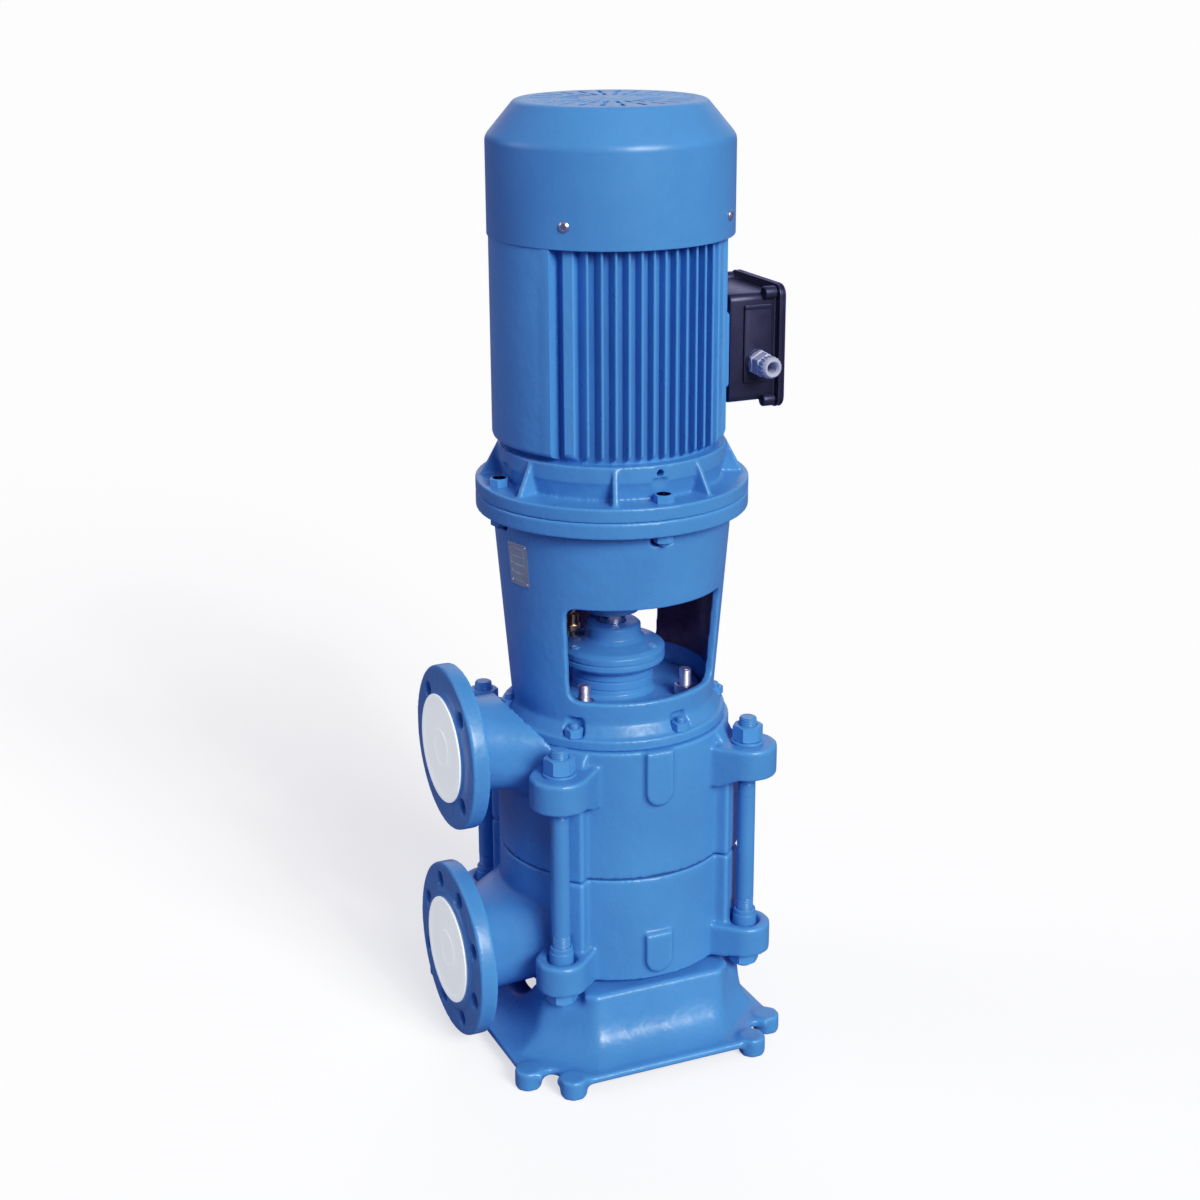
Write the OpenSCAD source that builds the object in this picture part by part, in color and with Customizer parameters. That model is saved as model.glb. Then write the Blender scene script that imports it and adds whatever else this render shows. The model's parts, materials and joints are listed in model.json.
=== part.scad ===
// Vertical multistage centrifugal pump with a flange-mounted electric motor.
// Millimetres. The shaft axis is +Z through the origin, and z = 0 is the underside of the feet.
// Both ports face -X, the terminal box is on +X, and the wide coupling window faces -Y.

/* [Base] */
// Half width of the base plate along X
base_half_x = 156; // [150:1:162]
// Half depth of the base plate along Y
base_half_y = 187; // [180:1:194]
// Shift of the base plate towards the ports
base_shift = 18; // [12:1:20]
// Height of the pedestal, which is the underside of the suction casing
pedestal_top = 88; // [84:1:90]
// Width of the anchor bolt slots
anchor_slot_w = 18; // [14:1:20]

/* [Pump casings] */
// Radius of the pump casings
casing_r = 132; // [130:1:134]
// Height of the joint between the two casings
casing_seam = 219; // [217:1:221]
// Height of the top of the discharge casing
casing_top = 370; // [368:1:372]
// Distance of each tie rod from the X and Y axes
tie_offset = 114; // [112:1:115]
// Radius of the tie rods
tie_r = 10; // [8:1:10]
// Outer radius of the upper tie rod ears
upper_ear_r = 33; // [31:1:34]
// Outer radius of the lower tie rod ears
lower_ear_r = 29; // [27:1:30]

/* [Ports] */
// Distance from the shaft axis to the sealing faces of both flanges
port_reach = 207; // [204:1:212]
// Height of the suction port
suction_z = 110; // [108:1:112]
// Radius of the suction flange
suction_flange_r = 100; // [96:1:104]
// Radius of the suction bore
suction_bore_r = 40; // [37:1:40]
// Height of the discharge port
discharge_z = 358; // [356:1:359]
// Radius of the discharge flange
discharge_flange_r = 92.5; // [90:0.5:95]
// Radius of the discharge bore
discharge_bore_r = 32.5; // [30:0.5:33]
// Thickness of both flanges
port_flange_t = 20; // [18:1:22]

/* [Lantern] */
// Outer radius of the lantern just above its foot
lantern_low_r = 114; // [112:1:116]
// Outer radius of the lantern under its top flange
lantern_high_r = 132; // [130:1:134]
// Height of the joint between lantern and motor
motor_face = 635; // [632:1:638]
// Height of the sill of the coupling windows
window_low = 421; // [418:1:426]
// Height of the head of the coupling windows
window_high = 530; // [520:1:534]
// Half angle of the front coupling window
window_half_angle = 49; // [44:1:51]

/* [Motor] */
// Radius of the motor flange
motor_flange_r = 150; // [148:1:152]
// Radius of the envelope of the cooling fins
fin_tip_r = 124; // [122:1:126]
// Distance between neighbouring fins
fin_pitch = 13; // [12.5:0.1:13.2]
// Thickness of a fin
fin_t = 4; // [3:0.5:5]
// Radius of the fan cowl
cowl_r = 132; // [131:1:134]
// Height of the lower rim of the fan cowl
cowl_low = 913; // [911:1:915]
// Height of the shoulder of the fan cowl
cowl_shoulder = 1015; // [1010:1:1020]
// Height of the top of the fan cowl
cowl_top = 1052; // [1050:1:1056]
// Radius of the flat top of the fan cowl
cowl_top_r = 101; // [98:1:104]

/* [Terminal box] */
// Distance from the shaft axis to the outer face of the terminal box lid
box_reach = 183; // [181:1:185]
// Half width of the terminal box lid
lid_half_y = 59; // [57:1:61]
// Height of the underside of the terminal box lid
lid_low = 717; // [715:1:719]
// Height of the upper edge of the terminal box lid
lid_high = 853; // [851:1:855]
// Radius of the cable entry in the gland nut
cable_r = 5; // [4:0.5:6]

/* [Hidden] */

$fn = 96;

// Gap that keeps a turning part clear of a fixed one
clear = 0.4;
// Overlap that makes a cut run past a face
past = 1;
// Clearance of a bolt in its hole
bolt_gap = 0.5;

pump_blue = [0.20, 0.46, 0.78];
steel = [0.62, 0.64, 0.66];
cast_grey = [0.42, 0.43, 0.45];
black_plastic = [0.08, 0.08, 0.09];

// Corners of a square pattern as sign pairs
corner_signs = [[-1, -1], [1, -1], [1, 1], [-1, 1]];

// Base
plate_low = 11;
plate_high = 20;
foot_r = 15;
foot_spread = 27;
anchor_x = 128;
anchor_y = 158;
plate_chamfer = 45;
flare_out = 41;
pocket_r = 25;
belly_r = 105;
belly_low = 52;
seat_r = 119;

// Tie rods
casing_rim = 94;
lower_ear_low = 100;
lower_ear_top = 134;
upper_ear_low = 318;
upper_ear_top = 354;
ear_root = 10;
web_half = 20;
web_reach = 146;
embed = 12;
spot_depth = 1;
recess_r = 17;
recess_depth = 7;
collar_r = 13.5;
collar_h = 22;
nut_af = 30;
nut_h = 18;
washer_h = 3;
washer_r = 18.5;
tie_low = lower_ear_low - nut_h - 5;
tie_high = upper_ear_top + washer_h + nut_h + 9;

// Flanges
raised_face_t = 3;
suction_raised_r = 69;
discharge_raised_r = 61;
port_hole_r = 9;
suction_pcd_r = 80;
discharge_pcd_r = 72.5;
cover_t = 2;
cover_spigot = 6;
cover_r = 61;

// Hydraulics
shaft_r = 15;
casing_bore_r = 116;
impeller_r = 90;
impeller_low_z = 150;
impeller_high_z = 236;
impeller_h = 30;
diffuser_h = 60;
eye_r = 38;
bush_r = 18;

// Seal housing and bearing cover
housing_flange_r = 100;
housing_flange_top = 400;
housing_neck_r = 37;
housing_top = 432;
cover_disc_r = 59;
cover_disc_top = 454;
cover_hub_r = 32;
cover_hub_top = 478;
seal_stud_pcd_r = 87;

// Lantern
foot_r_outer = 127;
foot_top = 382;
lantern_wall = 9;
lantern_neck_z = 396;
lantern_flange_low = 616.5;
window_corner_r = 12;
rear_window_mid = 140;
rear_window_half = 12;
lantern_stud_pcd_r = 118;
lantern_stud_start = 15;
spigot_r = 115;
spigot_h = 4;

// Motor
motor_flange_top = 650;
flange_pcd_r = 132.5;
flange_bolt_r = 6;
shield_top = 688;
frame_r = 112;
stator_r = 105;
core_low = 735;
core_high = 860;
bearing_or = 40;
bearing_ir = 20;
bearing_h = 18;
bearing_low_z = 660;
bearing_high_z = 895;
race_r = 30;
ball_r = 6;
cowl_t = 3;
cowl_screw_z = 937;

// Coupling
coupling_r = 30;
coupling_low = 492;
coupling_high = 600;
pump_shaft_top = 542;
motor_shaft_low = 548;
motor_shaft_r = 19;

// Terminal box
box_low = 725;
box_high = 844;
box_half_y = 50;
box_inner_x = 118;
lid_t = 10;
gasket_t = 2;
box_wall = 4;
box_outer_x = box_reach - lid_t - gasket_t;
gland_x = 151;
gland_z = 769;

// A tube that stands on z
module tube(r, bore, z, h) {
    translate([0, 0, z]) difference() {
        cylinder(r = r, h = h);
        translate([0, 0, -past]) cylinder(r = bore, h = h + 2 * past);
    }
}

// A cylinder along -X that starts at x and runs for a length
module bar_x(r, x, z, length) {
    translate([x, 0, z]) rotate([0, 90, 0]) cylinder(r = r, h = length);
}

// Copies at equal angles round the shaft axis; angle 0 is -Y, growing towards +X
module ring_of(count, radius, start = 0) {
    for (i = [0 : count - 1])
        rotate([0, 0, start + i * 360 / count])
            translate([0, -radius, 0]) children();
}

// Copies at the four tie rods
module at_ties() {
    for (s = corner_signs)
        translate([s[0] * tie_offset, s[1] * tie_offset, 0]) children();
}

// A hexagonal prism, given its width across the flats
module hexagon(af, h) {
    cylinder(r = af / 2 / cos(30), h = h, $fn = 6);
}

// A hexagonal nut with a bore
module hex_nut(af, h, bore) {
    difference() {
        hexagon(af, h);
        translate([0, 0, -past]) cylinder(r = bore, h = h + 2 * past, $fn = 48);
    }
}

// A rectangle with round corners, centred
module round_rect(w, h, r) {
    square([w - 2 * r, h], center = true);
    square([w, h - 2 * r], center = true);
    for (sx = [-1, 1])
        for (sy = [-1, 1])
            translate([sx * (w / 2 - r), sy * (h / 2 - r)]) circle(r = r, $fn = 32);
}

// A rectangle with its corners cut off at 45 degrees, centred
module cut_rect(hx, hy, c) {
    polygon([[-hx + c, -hy], [hx - c, -hy], [hx, -hy + c], [hx, hy - c],
        [hx - c, hy], [-hx + c, hy], [-hx, hy - c], [-hx, -hy + c]]);
}

// A block of a sector between two angles, where angle 0 is -Y
module sector(r, from, to, z, h) {
    steps = 6;
    translate([0, 0, z]) linear_extrude(h)
        polygon(concat([[0, 0]], [for (i = [0 : steps])
            let (a = from + (to - from) * i / steps) [r * sin(a), -r * cos(a)]]));
}

// Four arms with round ends that carry the tie rods, deeper where they leave the casing
module ear_arms(r, z, h, root) {
    reach = tie_offset * sqrt(2);
    for (i = [0 : 3])
        rotate(45 + 90 * i) {
            translate([reach, 0, z]) cylinder(r = r, h = h);
            translate([0, r, z]) rotate([90, 0, 0]) linear_extrude(2 * r)
                polygon([[casing_r - embed, -root], [casing_r + 8, -root], [reach, 0], [reach, h],
                    [casing_r - embed, h]]);
        }
}

// Upright webs behind the tie rods, which fill the corners between the casing and the rods
module tie_webs(low, high) {
    for (i = [0 : 3])
        rotate(45 + 90 * i) translate([casing_r - embed, -web_half, low])
            cube([web_reach - casing_r + embed, 2 * web_half, high - low]);
}

// Sloping webs from the top of the casing down to the upper ears
module ear_webs(low, high) {
    for (i = [0 : 3])
        rotate(45 + 90 * i) translate([0, web_half, low]) rotate([90, 0, 0])
            linear_extrude(2 * web_half)
                polygon([[casing_r - embed, -past], [casing_r - embed, high - low],
                    [casing_r - 1, high - low], [web_reach - 5, 0], [web_reach - 5, -past]]);
}

// Holes for the tie rods
module tie_holes(z, h) {
    at_ties() translate([0, 0, z]) cylinder(r = tie_r + bolt_gap, h = h);
}

// Vertical pad on the front and the back of a casing, with a round lower end
module casing_pads(low, high) {
    pad_half = 16;
    pad_x = -4;
    for (side = [-1, 1]) {
        translate([pad_x - pad_half, side > 0 ? 0 : -casing_r - 6, low + pad_half])
            cube([2 * pad_half, casing_r + 6, high - low - pad_half]);
        translate([pad_x, 0, low + pad_half]) rotate([side > 0 ? -90 : 90, 0, 0])
            cylinder(r = pad_half, h = casing_r + 6);
    }
}

// Pipe flange with its raised face, without holes
module port_flange(r, raised_r, z) {
    bar_x(r, -port_reach + raised_face_t, z, port_flange_t);
    bar_x(raised_r, -port_reach, z, raised_face_t + past);
}

// Bolt holes of a pipe flange
module port_holes(z, pcd_r, count) {
    for (i = [0 : count - 1])
        translate([-port_reach, 0, z]) rotate([360 / count * (i + 0.5), 0, 0])
            translate([-past, 0, pcd_r]) rotate([0, 90, 0])
                cylinder(r = port_hole_r, h = port_flange_t + raised_face_t + 2 * past, $fn = 48);
}

// Pipe port that fans out from its neck into the casing
module port_neck(neck_r, z, low, high) {
    hull() {
        bar_x(neck_r, -port_reach + port_flange_t, z, 24, $fn = 48);
        translate([0, 0, low]) cylinder(r = casing_r - 18, h = high - low, $fn = 48);
    }
}

// One thin layer of the pedestal, given how far it stands out from the top layer
module pedestal_layer(z, out) {
    upper_half_x = 122;
    upper_half_y = 136;
    upper_shift = 4;
    share = out / flare_out;
    shift = upper_shift + (base_shift - upper_shift) * share;
    translate([-shift, 0, z]) linear_extrude(past)
        cut_rect(upper_half_x + (base_half_x - 10 - upper_half_x) * share, upper_half_y + out,
            plate_chamfer + 24 * share);
}

module base_pedestal() {
    port_gap = 66;
    flare = [[plate_high - past, flare_out], [23, 31], [29, 21], [39, 12], [54, 6], [pedestal_top - past, 0]];
    color(pump_blue) difference() {
        union() {
            translate([-base_shift, 0, plate_low]) linear_extrude(plate_high - plate_low)
                cut_rect(base_half_x, base_half_y, plate_chamfer);
            for (s = corner_signs)
                translate([-base_shift + s[0] * anchor_x, s[1] * anchor_y, 0])
                    rotate(atan2(s[1], s[0]))
                        for (side = [-1, 1])
                            translate([2, side * foot_spread, 0]) cylinder(r = foot_r, h = plate_high + 2);
            for (i = [1 : len(flare) - 1])
                hull() {
                    pedestal_layer(flare[i - 1][0], flare[i - 1][1]);
                    pedestal_layer(flare[i][0], flare[i][1]);
                }
        }
        translate([0, 0, -past]) cylinder(r = belly_r + 2, h = pedestal_top + 2 * past);
        for (s = corner_signs)
            translate([-base_shift + s[0] * anchor_x, s[1] * anchor_y, -past])
                rotate(atan2(s[1], s[0])) {
                    cylinder(r = anchor_slot_w / 2, h = 70, $fn = 48);
                    translate([0, -anchor_slot_w / 2, 0]) cube([60, anchor_slot_w, 70]);
                }
        at_ties() translate([0, 0, tie_low - 4]) cylinder(r = pocket_r, h = pedestal_top);
        bar_x(port_gap, -base_half_x - base_shift - 20, suction_z, 130);
        translate([-base_half_x, -port_gap, suction_z - port_gap / 2])
            cube([base_half_x - 60, 2 * port_gap, port_gap]);
    }
}

module suction_casing() {
    chamber_r = 96;
    color(pump_blue) difference() {
        union() {
            translate([0, 0, casing_rim])
                cylinder(r = casing_r, h = casing_seam - 1 - casing_rim);
            translate([0, 0, belly_low]) cylinder(r = belly_r, h = casing_rim - belly_low + past);
            translate([0, 0, pedestal_top]) cylinder(r = seat_r, h = casing_rim - pedestal_top + past);
            ear_arms(lower_ear_r, lower_ear_low - spot_depth, lower_ear_top - lower_ear_low + spot_depth, 4);
            tie_webs(casing_rim + 3, casing_seam - 1);
            casing_pads(103, 151);
            port_neck(54, suction_z, suction_z + 14, suction_z + 70);
            port_flange(suction_flange_r, suction_raised_r, suction_z);
        }
        translate([0, 0, belly_low + 10]) cylinder(r = chamber_r, h = 100);
        translate([0, 0, impeller_low_z - 8]) cylinder(r = casing_bore_r, h = 100);
        translate([0, 0, belly_low - past]) cylinder(r = bush_r + 4, h = 30);
        bar_x(suction_bore_r, -port_reach - past, suction_z, 140);
        port_holes(suction_z, suction_pcd_r, 8);
        tie_holes(casing_rim - past, 60);
        at_ties() {
            translate([0, 0, lower_ear_top - recess_depth]) cylinder(r = recess_r, h = 30);
            translate([0, 0, casing_rim - past])
                cylinder(r = recess_r + 3, h = lower_ear_low - casing_rim + past);
        }
        translate([0, casing_r + 7, 118]) rotate([90, 0, 0]) cylinder(r = 6, h = 40, $fn = 48);
    }
}

module discharge_casing() {
    chamber_r = 104;
    color(pump_blue) difference() {
        union() {
            translate([0, 0, casing_seam + 1])
                cylinder(r = casing_r, h = casing_top - casing_seam - 1);
            ear_arms(upper_ear_r, upper_ear_low, upper_ear_top - upper_ear_low, ear_root);
            ear_webs(upper_ear_top, casing_top - 1);
            tie_webs(casing_seam + 1, upper_ear_low);
            casing_pads(306, casing_top);
            port_neck(50, discharge_z, 324, casing_top);
            port_flange(discharge_flange_r, discharge_raised_r, discharge_z);
        }
        translate([0, 0, casing_top]) cylinder(r = casing_r + 2, h = 60);
        translate([0, 0, casing_seam]) cylinder(r = casing_bore_r, h = 301 - casing_seam);
        translate([0, 0, 300]) cylinder(r = chamber_r, h = 48);
        translate([0, 0, 340]) cylinder(r = 50, h = 60);
        bar_x(discharge_bore_r, -port_reach - past, discharge_z, 60);
        translate([-port_reach + 40, 0, discharge_z - 2]) rotate([0, 114, 0]) cylinder(r = 22, h = 90);
        port_holes(discharge_z, discharge_pcd_r, 4);
        tie_holes(upper_ear_low - ear_root - past, 60);
        translate([0, casing_r + 7, 330]) rotate([90, 0, 0]) cylinder(r = 6, h = 40, $fn = 48);
    }
}

module casing_gasket() {
    color([0.15, 0.15, 0.16]) tube(casing_r - 1.5, casing_bore_r + 3, casing_seam - 1, 2);
}

module tie_rods() {
    color(pump_blue) at_ties()
        translate([0, 0, tie_low]) cylinder(r = tie_r, h = tie_high - tie_low, $fn = 48);
}

module tie_rod_nuts_upper() {
    color(pump_blue) at_ties()
        translate([0, 0, upper_ear_top + washer_h]) rotate(15) hex_nut(nut_af, nut_h, tie_r);
}

// A nut under each lower ear, and a round collar nut in the recess above it
module tie_rod_nuts_lower() {
    color(pump_blue) at_ties() {
        translate([0, 0, lower_ear_low - nut_h]) rotate(15) hex_nut(nut_af, nut_h, tie_r);
        tube(collar_r, tie_r, lower_ear_top - recess_depth, collar_h);
    }
}

module tie_rod_washers() {
    color(pump_blue) at_ties() tube(washer_r, tie_r + bolt_gap, upper_ear_top, washer_h);
}

// Guide-vane stage: outer ring, lower plate with an eye, hub plate and straightening vanes
module diffuser(z) {
    ring_r = casing_bore_r - clear;
    drum_r = impeller_r + 8;
    color(cast_grey) {
        tube(ring_r, ring_r - 5, z, diffuser_h);
        tube(ring_r - 4, eye_r + 6, z, 6);
        tube(drum_r, shaft_r + 5, z + diffuser_h - 16, 7);
        ring_of(9, 0) translate([-2, -ring_r + 4, z + 5])
            cube([4, ring_r - 4 - impeller_r - 3, diffuser_h - 5]);
    }
}

module diffuser_lower() {
    diffuser(impeller_low_z - 8);
}

module diffuser_upper() {
    diffuser(impeller_high_z - 8);
}

module wear_rings() {
    for (z = [impeller_low_z, impeller_high_z])
        color([0.72, 0.55, 0.30]) tube(eye_r + 6, eye_r + clear, z - 8, 6);
}

module lower_bearing_bush() {
    color([0.72, 0.55, 0.30]) tube(bush_r + 4, shaft_r + 0.05, belly_low, 28);
}

// Hexagonal screw plug that seals a pad on the back of a casing
module pad_plug(z) {
    color(steel) translate([0, casing_r + 6, z]) rotate([-90, 0, 0]) {
        translate([0, 0, -24]) cylinder(r = 6, h = 24, $fn = 48);
        cylinder(r = 11, h = 2, $fn = 48);
        translate([0, 0, 2]) hexagon(17, 8);
    }
}

module drain_plug() {
    pad_plug(118);
}

module gauge_plug() {
    pad_plug(330);
}

module seal_housing() {
    color(pump_blue) difference() {
        union() {
            translate([0, 0, casing_top])
                cylinder(r = housing_flange_r, h = housing_flange_top - casing_top);
            translate([0, 0, casing_top - 20]) cylinder(r = 49.5, h = 30);
            translate([0, 0, housing_flange_top - past])
                cylinder(r = housing_neck_r, h = housing_top - housing_flange_top + past);
        }
        translate([0, 0, casing_top - 14]) cylinder(r = 27, h = 80);
        translate([0, 0, casing_top - 30]) cylinder(r = shaft_r + 1, h = 30);
        ring_of(4, seal_stud_pcd_r, 45) translate([0, 0, casing_top - past])
            cylinder(r = 7 + bolt_gap, h = 60, $fn = 48);
    }
}

module bearing_cover() {
    step = cover_disc_top - housing_top;
    color(pump_blue) difference() {
        translate([0, 0, housing_top]) rotate_extrude()
            polygon([[shaft_r + 1, 0], [cover_disc_r - 4, 0], [cover_disc_r, 4], [cover_disc_r, step - 8],
                [cover_disc_r - 8, step], [cover_hub_r + 4, step + 6], [cover_hub_r, step + 10],
                [cover_hub_r, cover_hub_top - housing_top - 4],
                [cover_hub_r - 4, cover_hub_top - housing_top], [shaft_r + 1, cover_hub_top - housing_top]]);
        translate([0, 0, housing_top - past]) cylinder(r = 24, h = 16);
        rotate(-130) translate([0, -47, housing_top + 8]) cylinder(r = 5, h = 40, $fn = 48);
    }
}

module seal_studs() {
    color(steel) ring_of(4, seal_stud_pcd_r, 45) translate([0, 0, casing_top])
        cylinder(r = 7, h = 62, $fn = 48);
}

module seal_stud_nuts() {
    color(steel) ring_of(4, seal_stud_pcd_r, 45) translate([0, 0, housing_flange_top])
        hex_nut(22, 13, 7);
}

module seal_stationary_ring() {
    color([0.25, 0.25, 0.27]) tube(24, shaft_r + 1, housing_top - 10, 14);
}

module vent_valve() {
    color([0.75, 0.58, 0.30]) rotate(-130) translate([0, -47, housing_top + 10]) {
        cylinder(r = 5, h = 24, $fn = 48);
        translate([0, 0, 20]) hexagon(16, 8);
        translate([0, 0, 27]) cylinder(r = 7, h = 13, $fn = 48);
        translate([0, 0, 39]) cylinder(r = 3, h = 7, $fn = 48);
        translate([-14, -3, 42]) cube([28, 6, 4]);
        translate([0, 0, 33]) rotate([90, 0, 0]) cylinder(r = 4, h = 18, $fn = 48);
    }
}

// Window opening round a middle angle, with round corners and jambs that run towards the axis
module window(mid, half) {
    corner_angle = window_corner_r / lantern_low_r * 180 / PI;
    reach = 200;
    hull()
        for (side = [-1, 1])
            for (z = [window_low + window_corner_r, window_high - window_corner_r])
                rotate(mid + side * (half - corner_angle)) translate([0, 0, z]) rotate([90, 0, 0])
                    cylinder(r = window_corner_r, h = reach, $fn = 32);
}

module lantern() {
    cone_top = lantern_flange_low;
    color(pump_blue) difference() {
        union() {
            tube(foot_r_outer, lantern_low_r - lantern_wall, casing_top, foot_top - casing_top);
            rotate_extrude() polygon([
                [lantern_low_r - lantern_wall, casing_top], [foot_r_outer - 4, casing_top],
                [foot_r_outer - 4, foot_top], [lantern_low_r, lantern_neck_z],
                [lantern_high_r, cone_top], [lantern_high_r, motor_face - past],
                [lantern_high_r - lantern_wall, motor_face - past],
                [lantern_high_r - lantern_wall, cone_top],
                [lantern_low_r - lantern_wall, lantern_neck_z]]);
            tube(motor_flange_r, spigot_r, lantern_flange_low, motor_face - lantern_flange_low);
        }
        window(0, window_half_angle);
        window(-rear_window_mid, rear_window_half);
        window(rear_window_mid, rear_window_half);
        ring_of(6, lantern_stud_pcd_r, lantern_stud_start) translate([0, 0, casing_top - past])
            cylinder(r = 5 + bolt_gap / 2, h = foot_top - casing_top + 2 * past, $fn = 48);
        ring_of(4, flange_pcd_r, 0) translate([0, 0, lantern_flange_low - past])
            cylinder(r = flange_bolt_r + bolt_gap, h = 30, $fn = 48);
        ring_of(6, lantern_stud_pcd_r + 1, lantern_stud_start) translate([0, 0, foot_top])
            cylinder(r = 12, h = 20, $fn = 48);
        ring_of(4, flange_pcd_r, 0) translate([0, 0, lantern_flange_low - 14])
            cylinder(r = 14, h = 14, $fn = 48);
    }
}

module lantern_studs() {
    color(pump_blue) ring_of(6, lantern_stud_pcd_r, lantern_stud_start) translate([0, 0, casing_top])
        cylinder(r = 5, h = 27, $fn = 48);
}

module lantern_nuts() {
    color(pump_blue) ring_of(6, lantern_stud_pcd_r, lantern_stud_start) translate([0, 0, foot_top])
        hex_nut(18, 10, 5);
}

// Blank plate that follows the cone of the lantern
module nameplate() {
    low = 545;
    high = 593;
    plate_t = 1;
    angle = 15;
    slope = (lantern_high_r - lantern_low_r) / (lantern_flange_low - lantern_neck_z);
    low_r = lantern_low_r + (low - lantern_neck_z) * slope;
    high_r = lantern_low_r + (high - lantern_neck_z) * slope;
    color([0.66, 0.72, 0.68]) rotate(-90 - 76 - angle / 2) rotate_extrude(angle = angle)
        polygon([[low_r, low], [low_r + plate_t, low], [high_r + plate_t, high], [high_r, high]]);
}

module motor_flange_shield() {
    skirt_r = 125;
    color(pump_blue) difference() {
        union() {
            translate([0, 0, motor_face])
                cylinder(r = motor_flange_r, h = motor_flange_top - motor_face);
            translate([0, 0, motor_face - spigot_h]) cylinder(r = spigot_r, h = spigot_h + past);
            translate([0, 0, motor_flange_top - past])
                cylinder(r1 = 118, r2 = skirt_r, h = 24);
            translate([0, 0, motor_flange_top + 20])
                cylinder(r = skirt_r, h = shield_top - motor_flange_top - 20);
            ring_of(8, 0, 22.5) rotate([90, 0, -90]) translate([100, motor_flange_top - past, -3])
                linear_extrude(6) polygon([[0, 0], [45, 0], [25, shield_top - motor_flange_top], [0, 30]]);
        }
        translate([0, 0, motor_flange_top + 20]) cylinder(r = 102, h = 60);
        translate([0, 0, motor_face - spigot_h - past]) cylinder(r = 96, h = 16);
        translate([0, 0, bearing_low_z - 40]) cylinder(r = motor_shaft_r + 1.5, h = 80);
        translate([0, 0, bearing_low_z]) cylinder(r = bearing_or, h = 60);
        ring_of(4, flange_pcd_r, 0) translate([0, 0, motor_face - past])
            cylinder(r = 7.5, h = 20, $fn = 48);
        ring_of(4, flange_pcd_r + 2, 0) translate([0, 0, motor_flange_top])
            cylinder(r = 14, h = 24, $fn = 48);
        translate([0, -skirt_r - past, 679]) rotate([-90, 0, 0]) cylinder(r = 4, h = 20, $fn = 48);
    }
}

module flange_bolts() {
    color(pump_blue) ring_of(4, flange_pcd_r, 0) {
        translate([0, 0, lantern_flange_low - 14])
            cylinder(r = flange_bolt_r, h = motor_flange_top - lantern_flange_low + 14, $fn = 48);
        translate([0, 0, motor_flange_top]) hexagon(19, 9);
    }
}

module flange_nuts() {
    color(pump_blue) ring_of(4, flange_pcd_r, 0) translate([0, 0, lantern_flange_low - 10])
        hex_nut(19, 10, flange_bolt_r);
}

// Twelve parallel fins on the -Y side of the motor frame
module fin_quadrant() {
    fins = 12;
    for (i = [0 : fins - 1])
        translate([(i - (fins - 1) / 2) * fin_pitch - fin_t / 2, -fin_tip_r, 0])
            cube([fin_t, 60, cowl_low - shield_top]);
}

module motor_frame() {
    frame_h = cowl_low - shield_top;
    panel_r = cowl_r - 0.5;
    panel_half = 37;
    color(pump_blue) difference() {
        union() {
            translate([0, 0, shield_top]) cylinder(r = frame_r, h = frame_h);
            translate([0, 0, shield_top]) intersection() {
                cylinder(r = fin_tip_r, h = frame_h);
                union() {
                    for (turn = [0, 90, 180]) rotate(turn) fin_quadrant();
                    for (turn = [45, 135, 225, 315]) rotate(turn)
                        translate([-6, -fin_tip_r, 0]) cube([13, 60, frame_h]);
                }
            }
            difference() {
                intersection() {
                    translate([0, 0, shield_top + 8]) cylinder(r = panel_r, h = frame_h - 8);
                    sector(200, -90 - panel_half, -90 + panel_half, shield_top, frame_h);
                }
                intersection() {
                    translate([0, 0, shield_top - past]) cylinder(r = panel_r - 6, h = frame_h + 2 * past);
                    sector(200, -90 - panel_half + 3, -90 + panel_half - 3,
                        shield_top - past, frame_h + 2 * past);
                }
            }
            translate([90, -44, box_low + 10]) cube([box_inner_x - 90, 88, box_high - box_low - 20]);
        }
        translate([0, 0, shield_top - past]) cylinder(r = stator_r, h = frame_h + 2 * past);
        translate([80, -30, box_low + 30]) cube([60, 60, box_high - box_low - 60]);
        translate([box_inner_x, -box_half_y - 3, box_low - 3])
            cube([20, 2 * box_half_y + 6, box_high - box_low + 6]);
    }
}

module stator_core() {
    slots = 24;
    color(cast_grey) difference() {
        tube(stator_r, 66, core_low, core_high - core_low);
        ring_of(slots, 0) translate([-3, -86, core_low - past])
            cube([6, 24, core_high - core_low + 2 * past]);
    }
}

module stator_windings() {
    slots = 24;
    coil_h = 24;
    color([0.72, 0.38, 0.18]) {
        tube(92, 67.5, core_low - coil_h, coil_h);
        tube(92, 67.5, core_high, coil_h);
        ring_of(slots, 0) translate([-2.5, -85, core_low - past])
            cube([5, 16, core_high - core_low + 2 * past]);
    }
}

module motor_rear_shield() {
    color(pump_blue) difference() {
        union() {
            translate([0, 0, cowl_low]) cylinder(r = frame_r, h = 10);
            translate([0, 0, bearing_high_z]) cylinder(r = bearing_or + 8, h = 28);
            ring_of(8, 0) translate([-2.5, -103, cowl_low - 14]) cube([5, 58, 16]);
            translate([0, 0, cowl_low - 14]) cylinder(r = 50, h = 16);
            ring_of(4, 0, 45) translate([-10, -cowl_r + cowl_t + 0.8, cowl_low]) cube([20, 30, 32]);
        }
        translate([0, 0, bearing_high_z - 30]) cylinder(r = bearing_or, h = 30 + bearing_h);
        translate([0, 0, bearing_high_z]) cylinder(r = 22, h = 60);
        ring_of(4, 0, 45) translate([0, -cowl_r, cowl_screw_z]) rotate([-90, 0, 0])
            cylinder(r = 3, h = 16, $fn = 48);
    }
}

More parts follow.
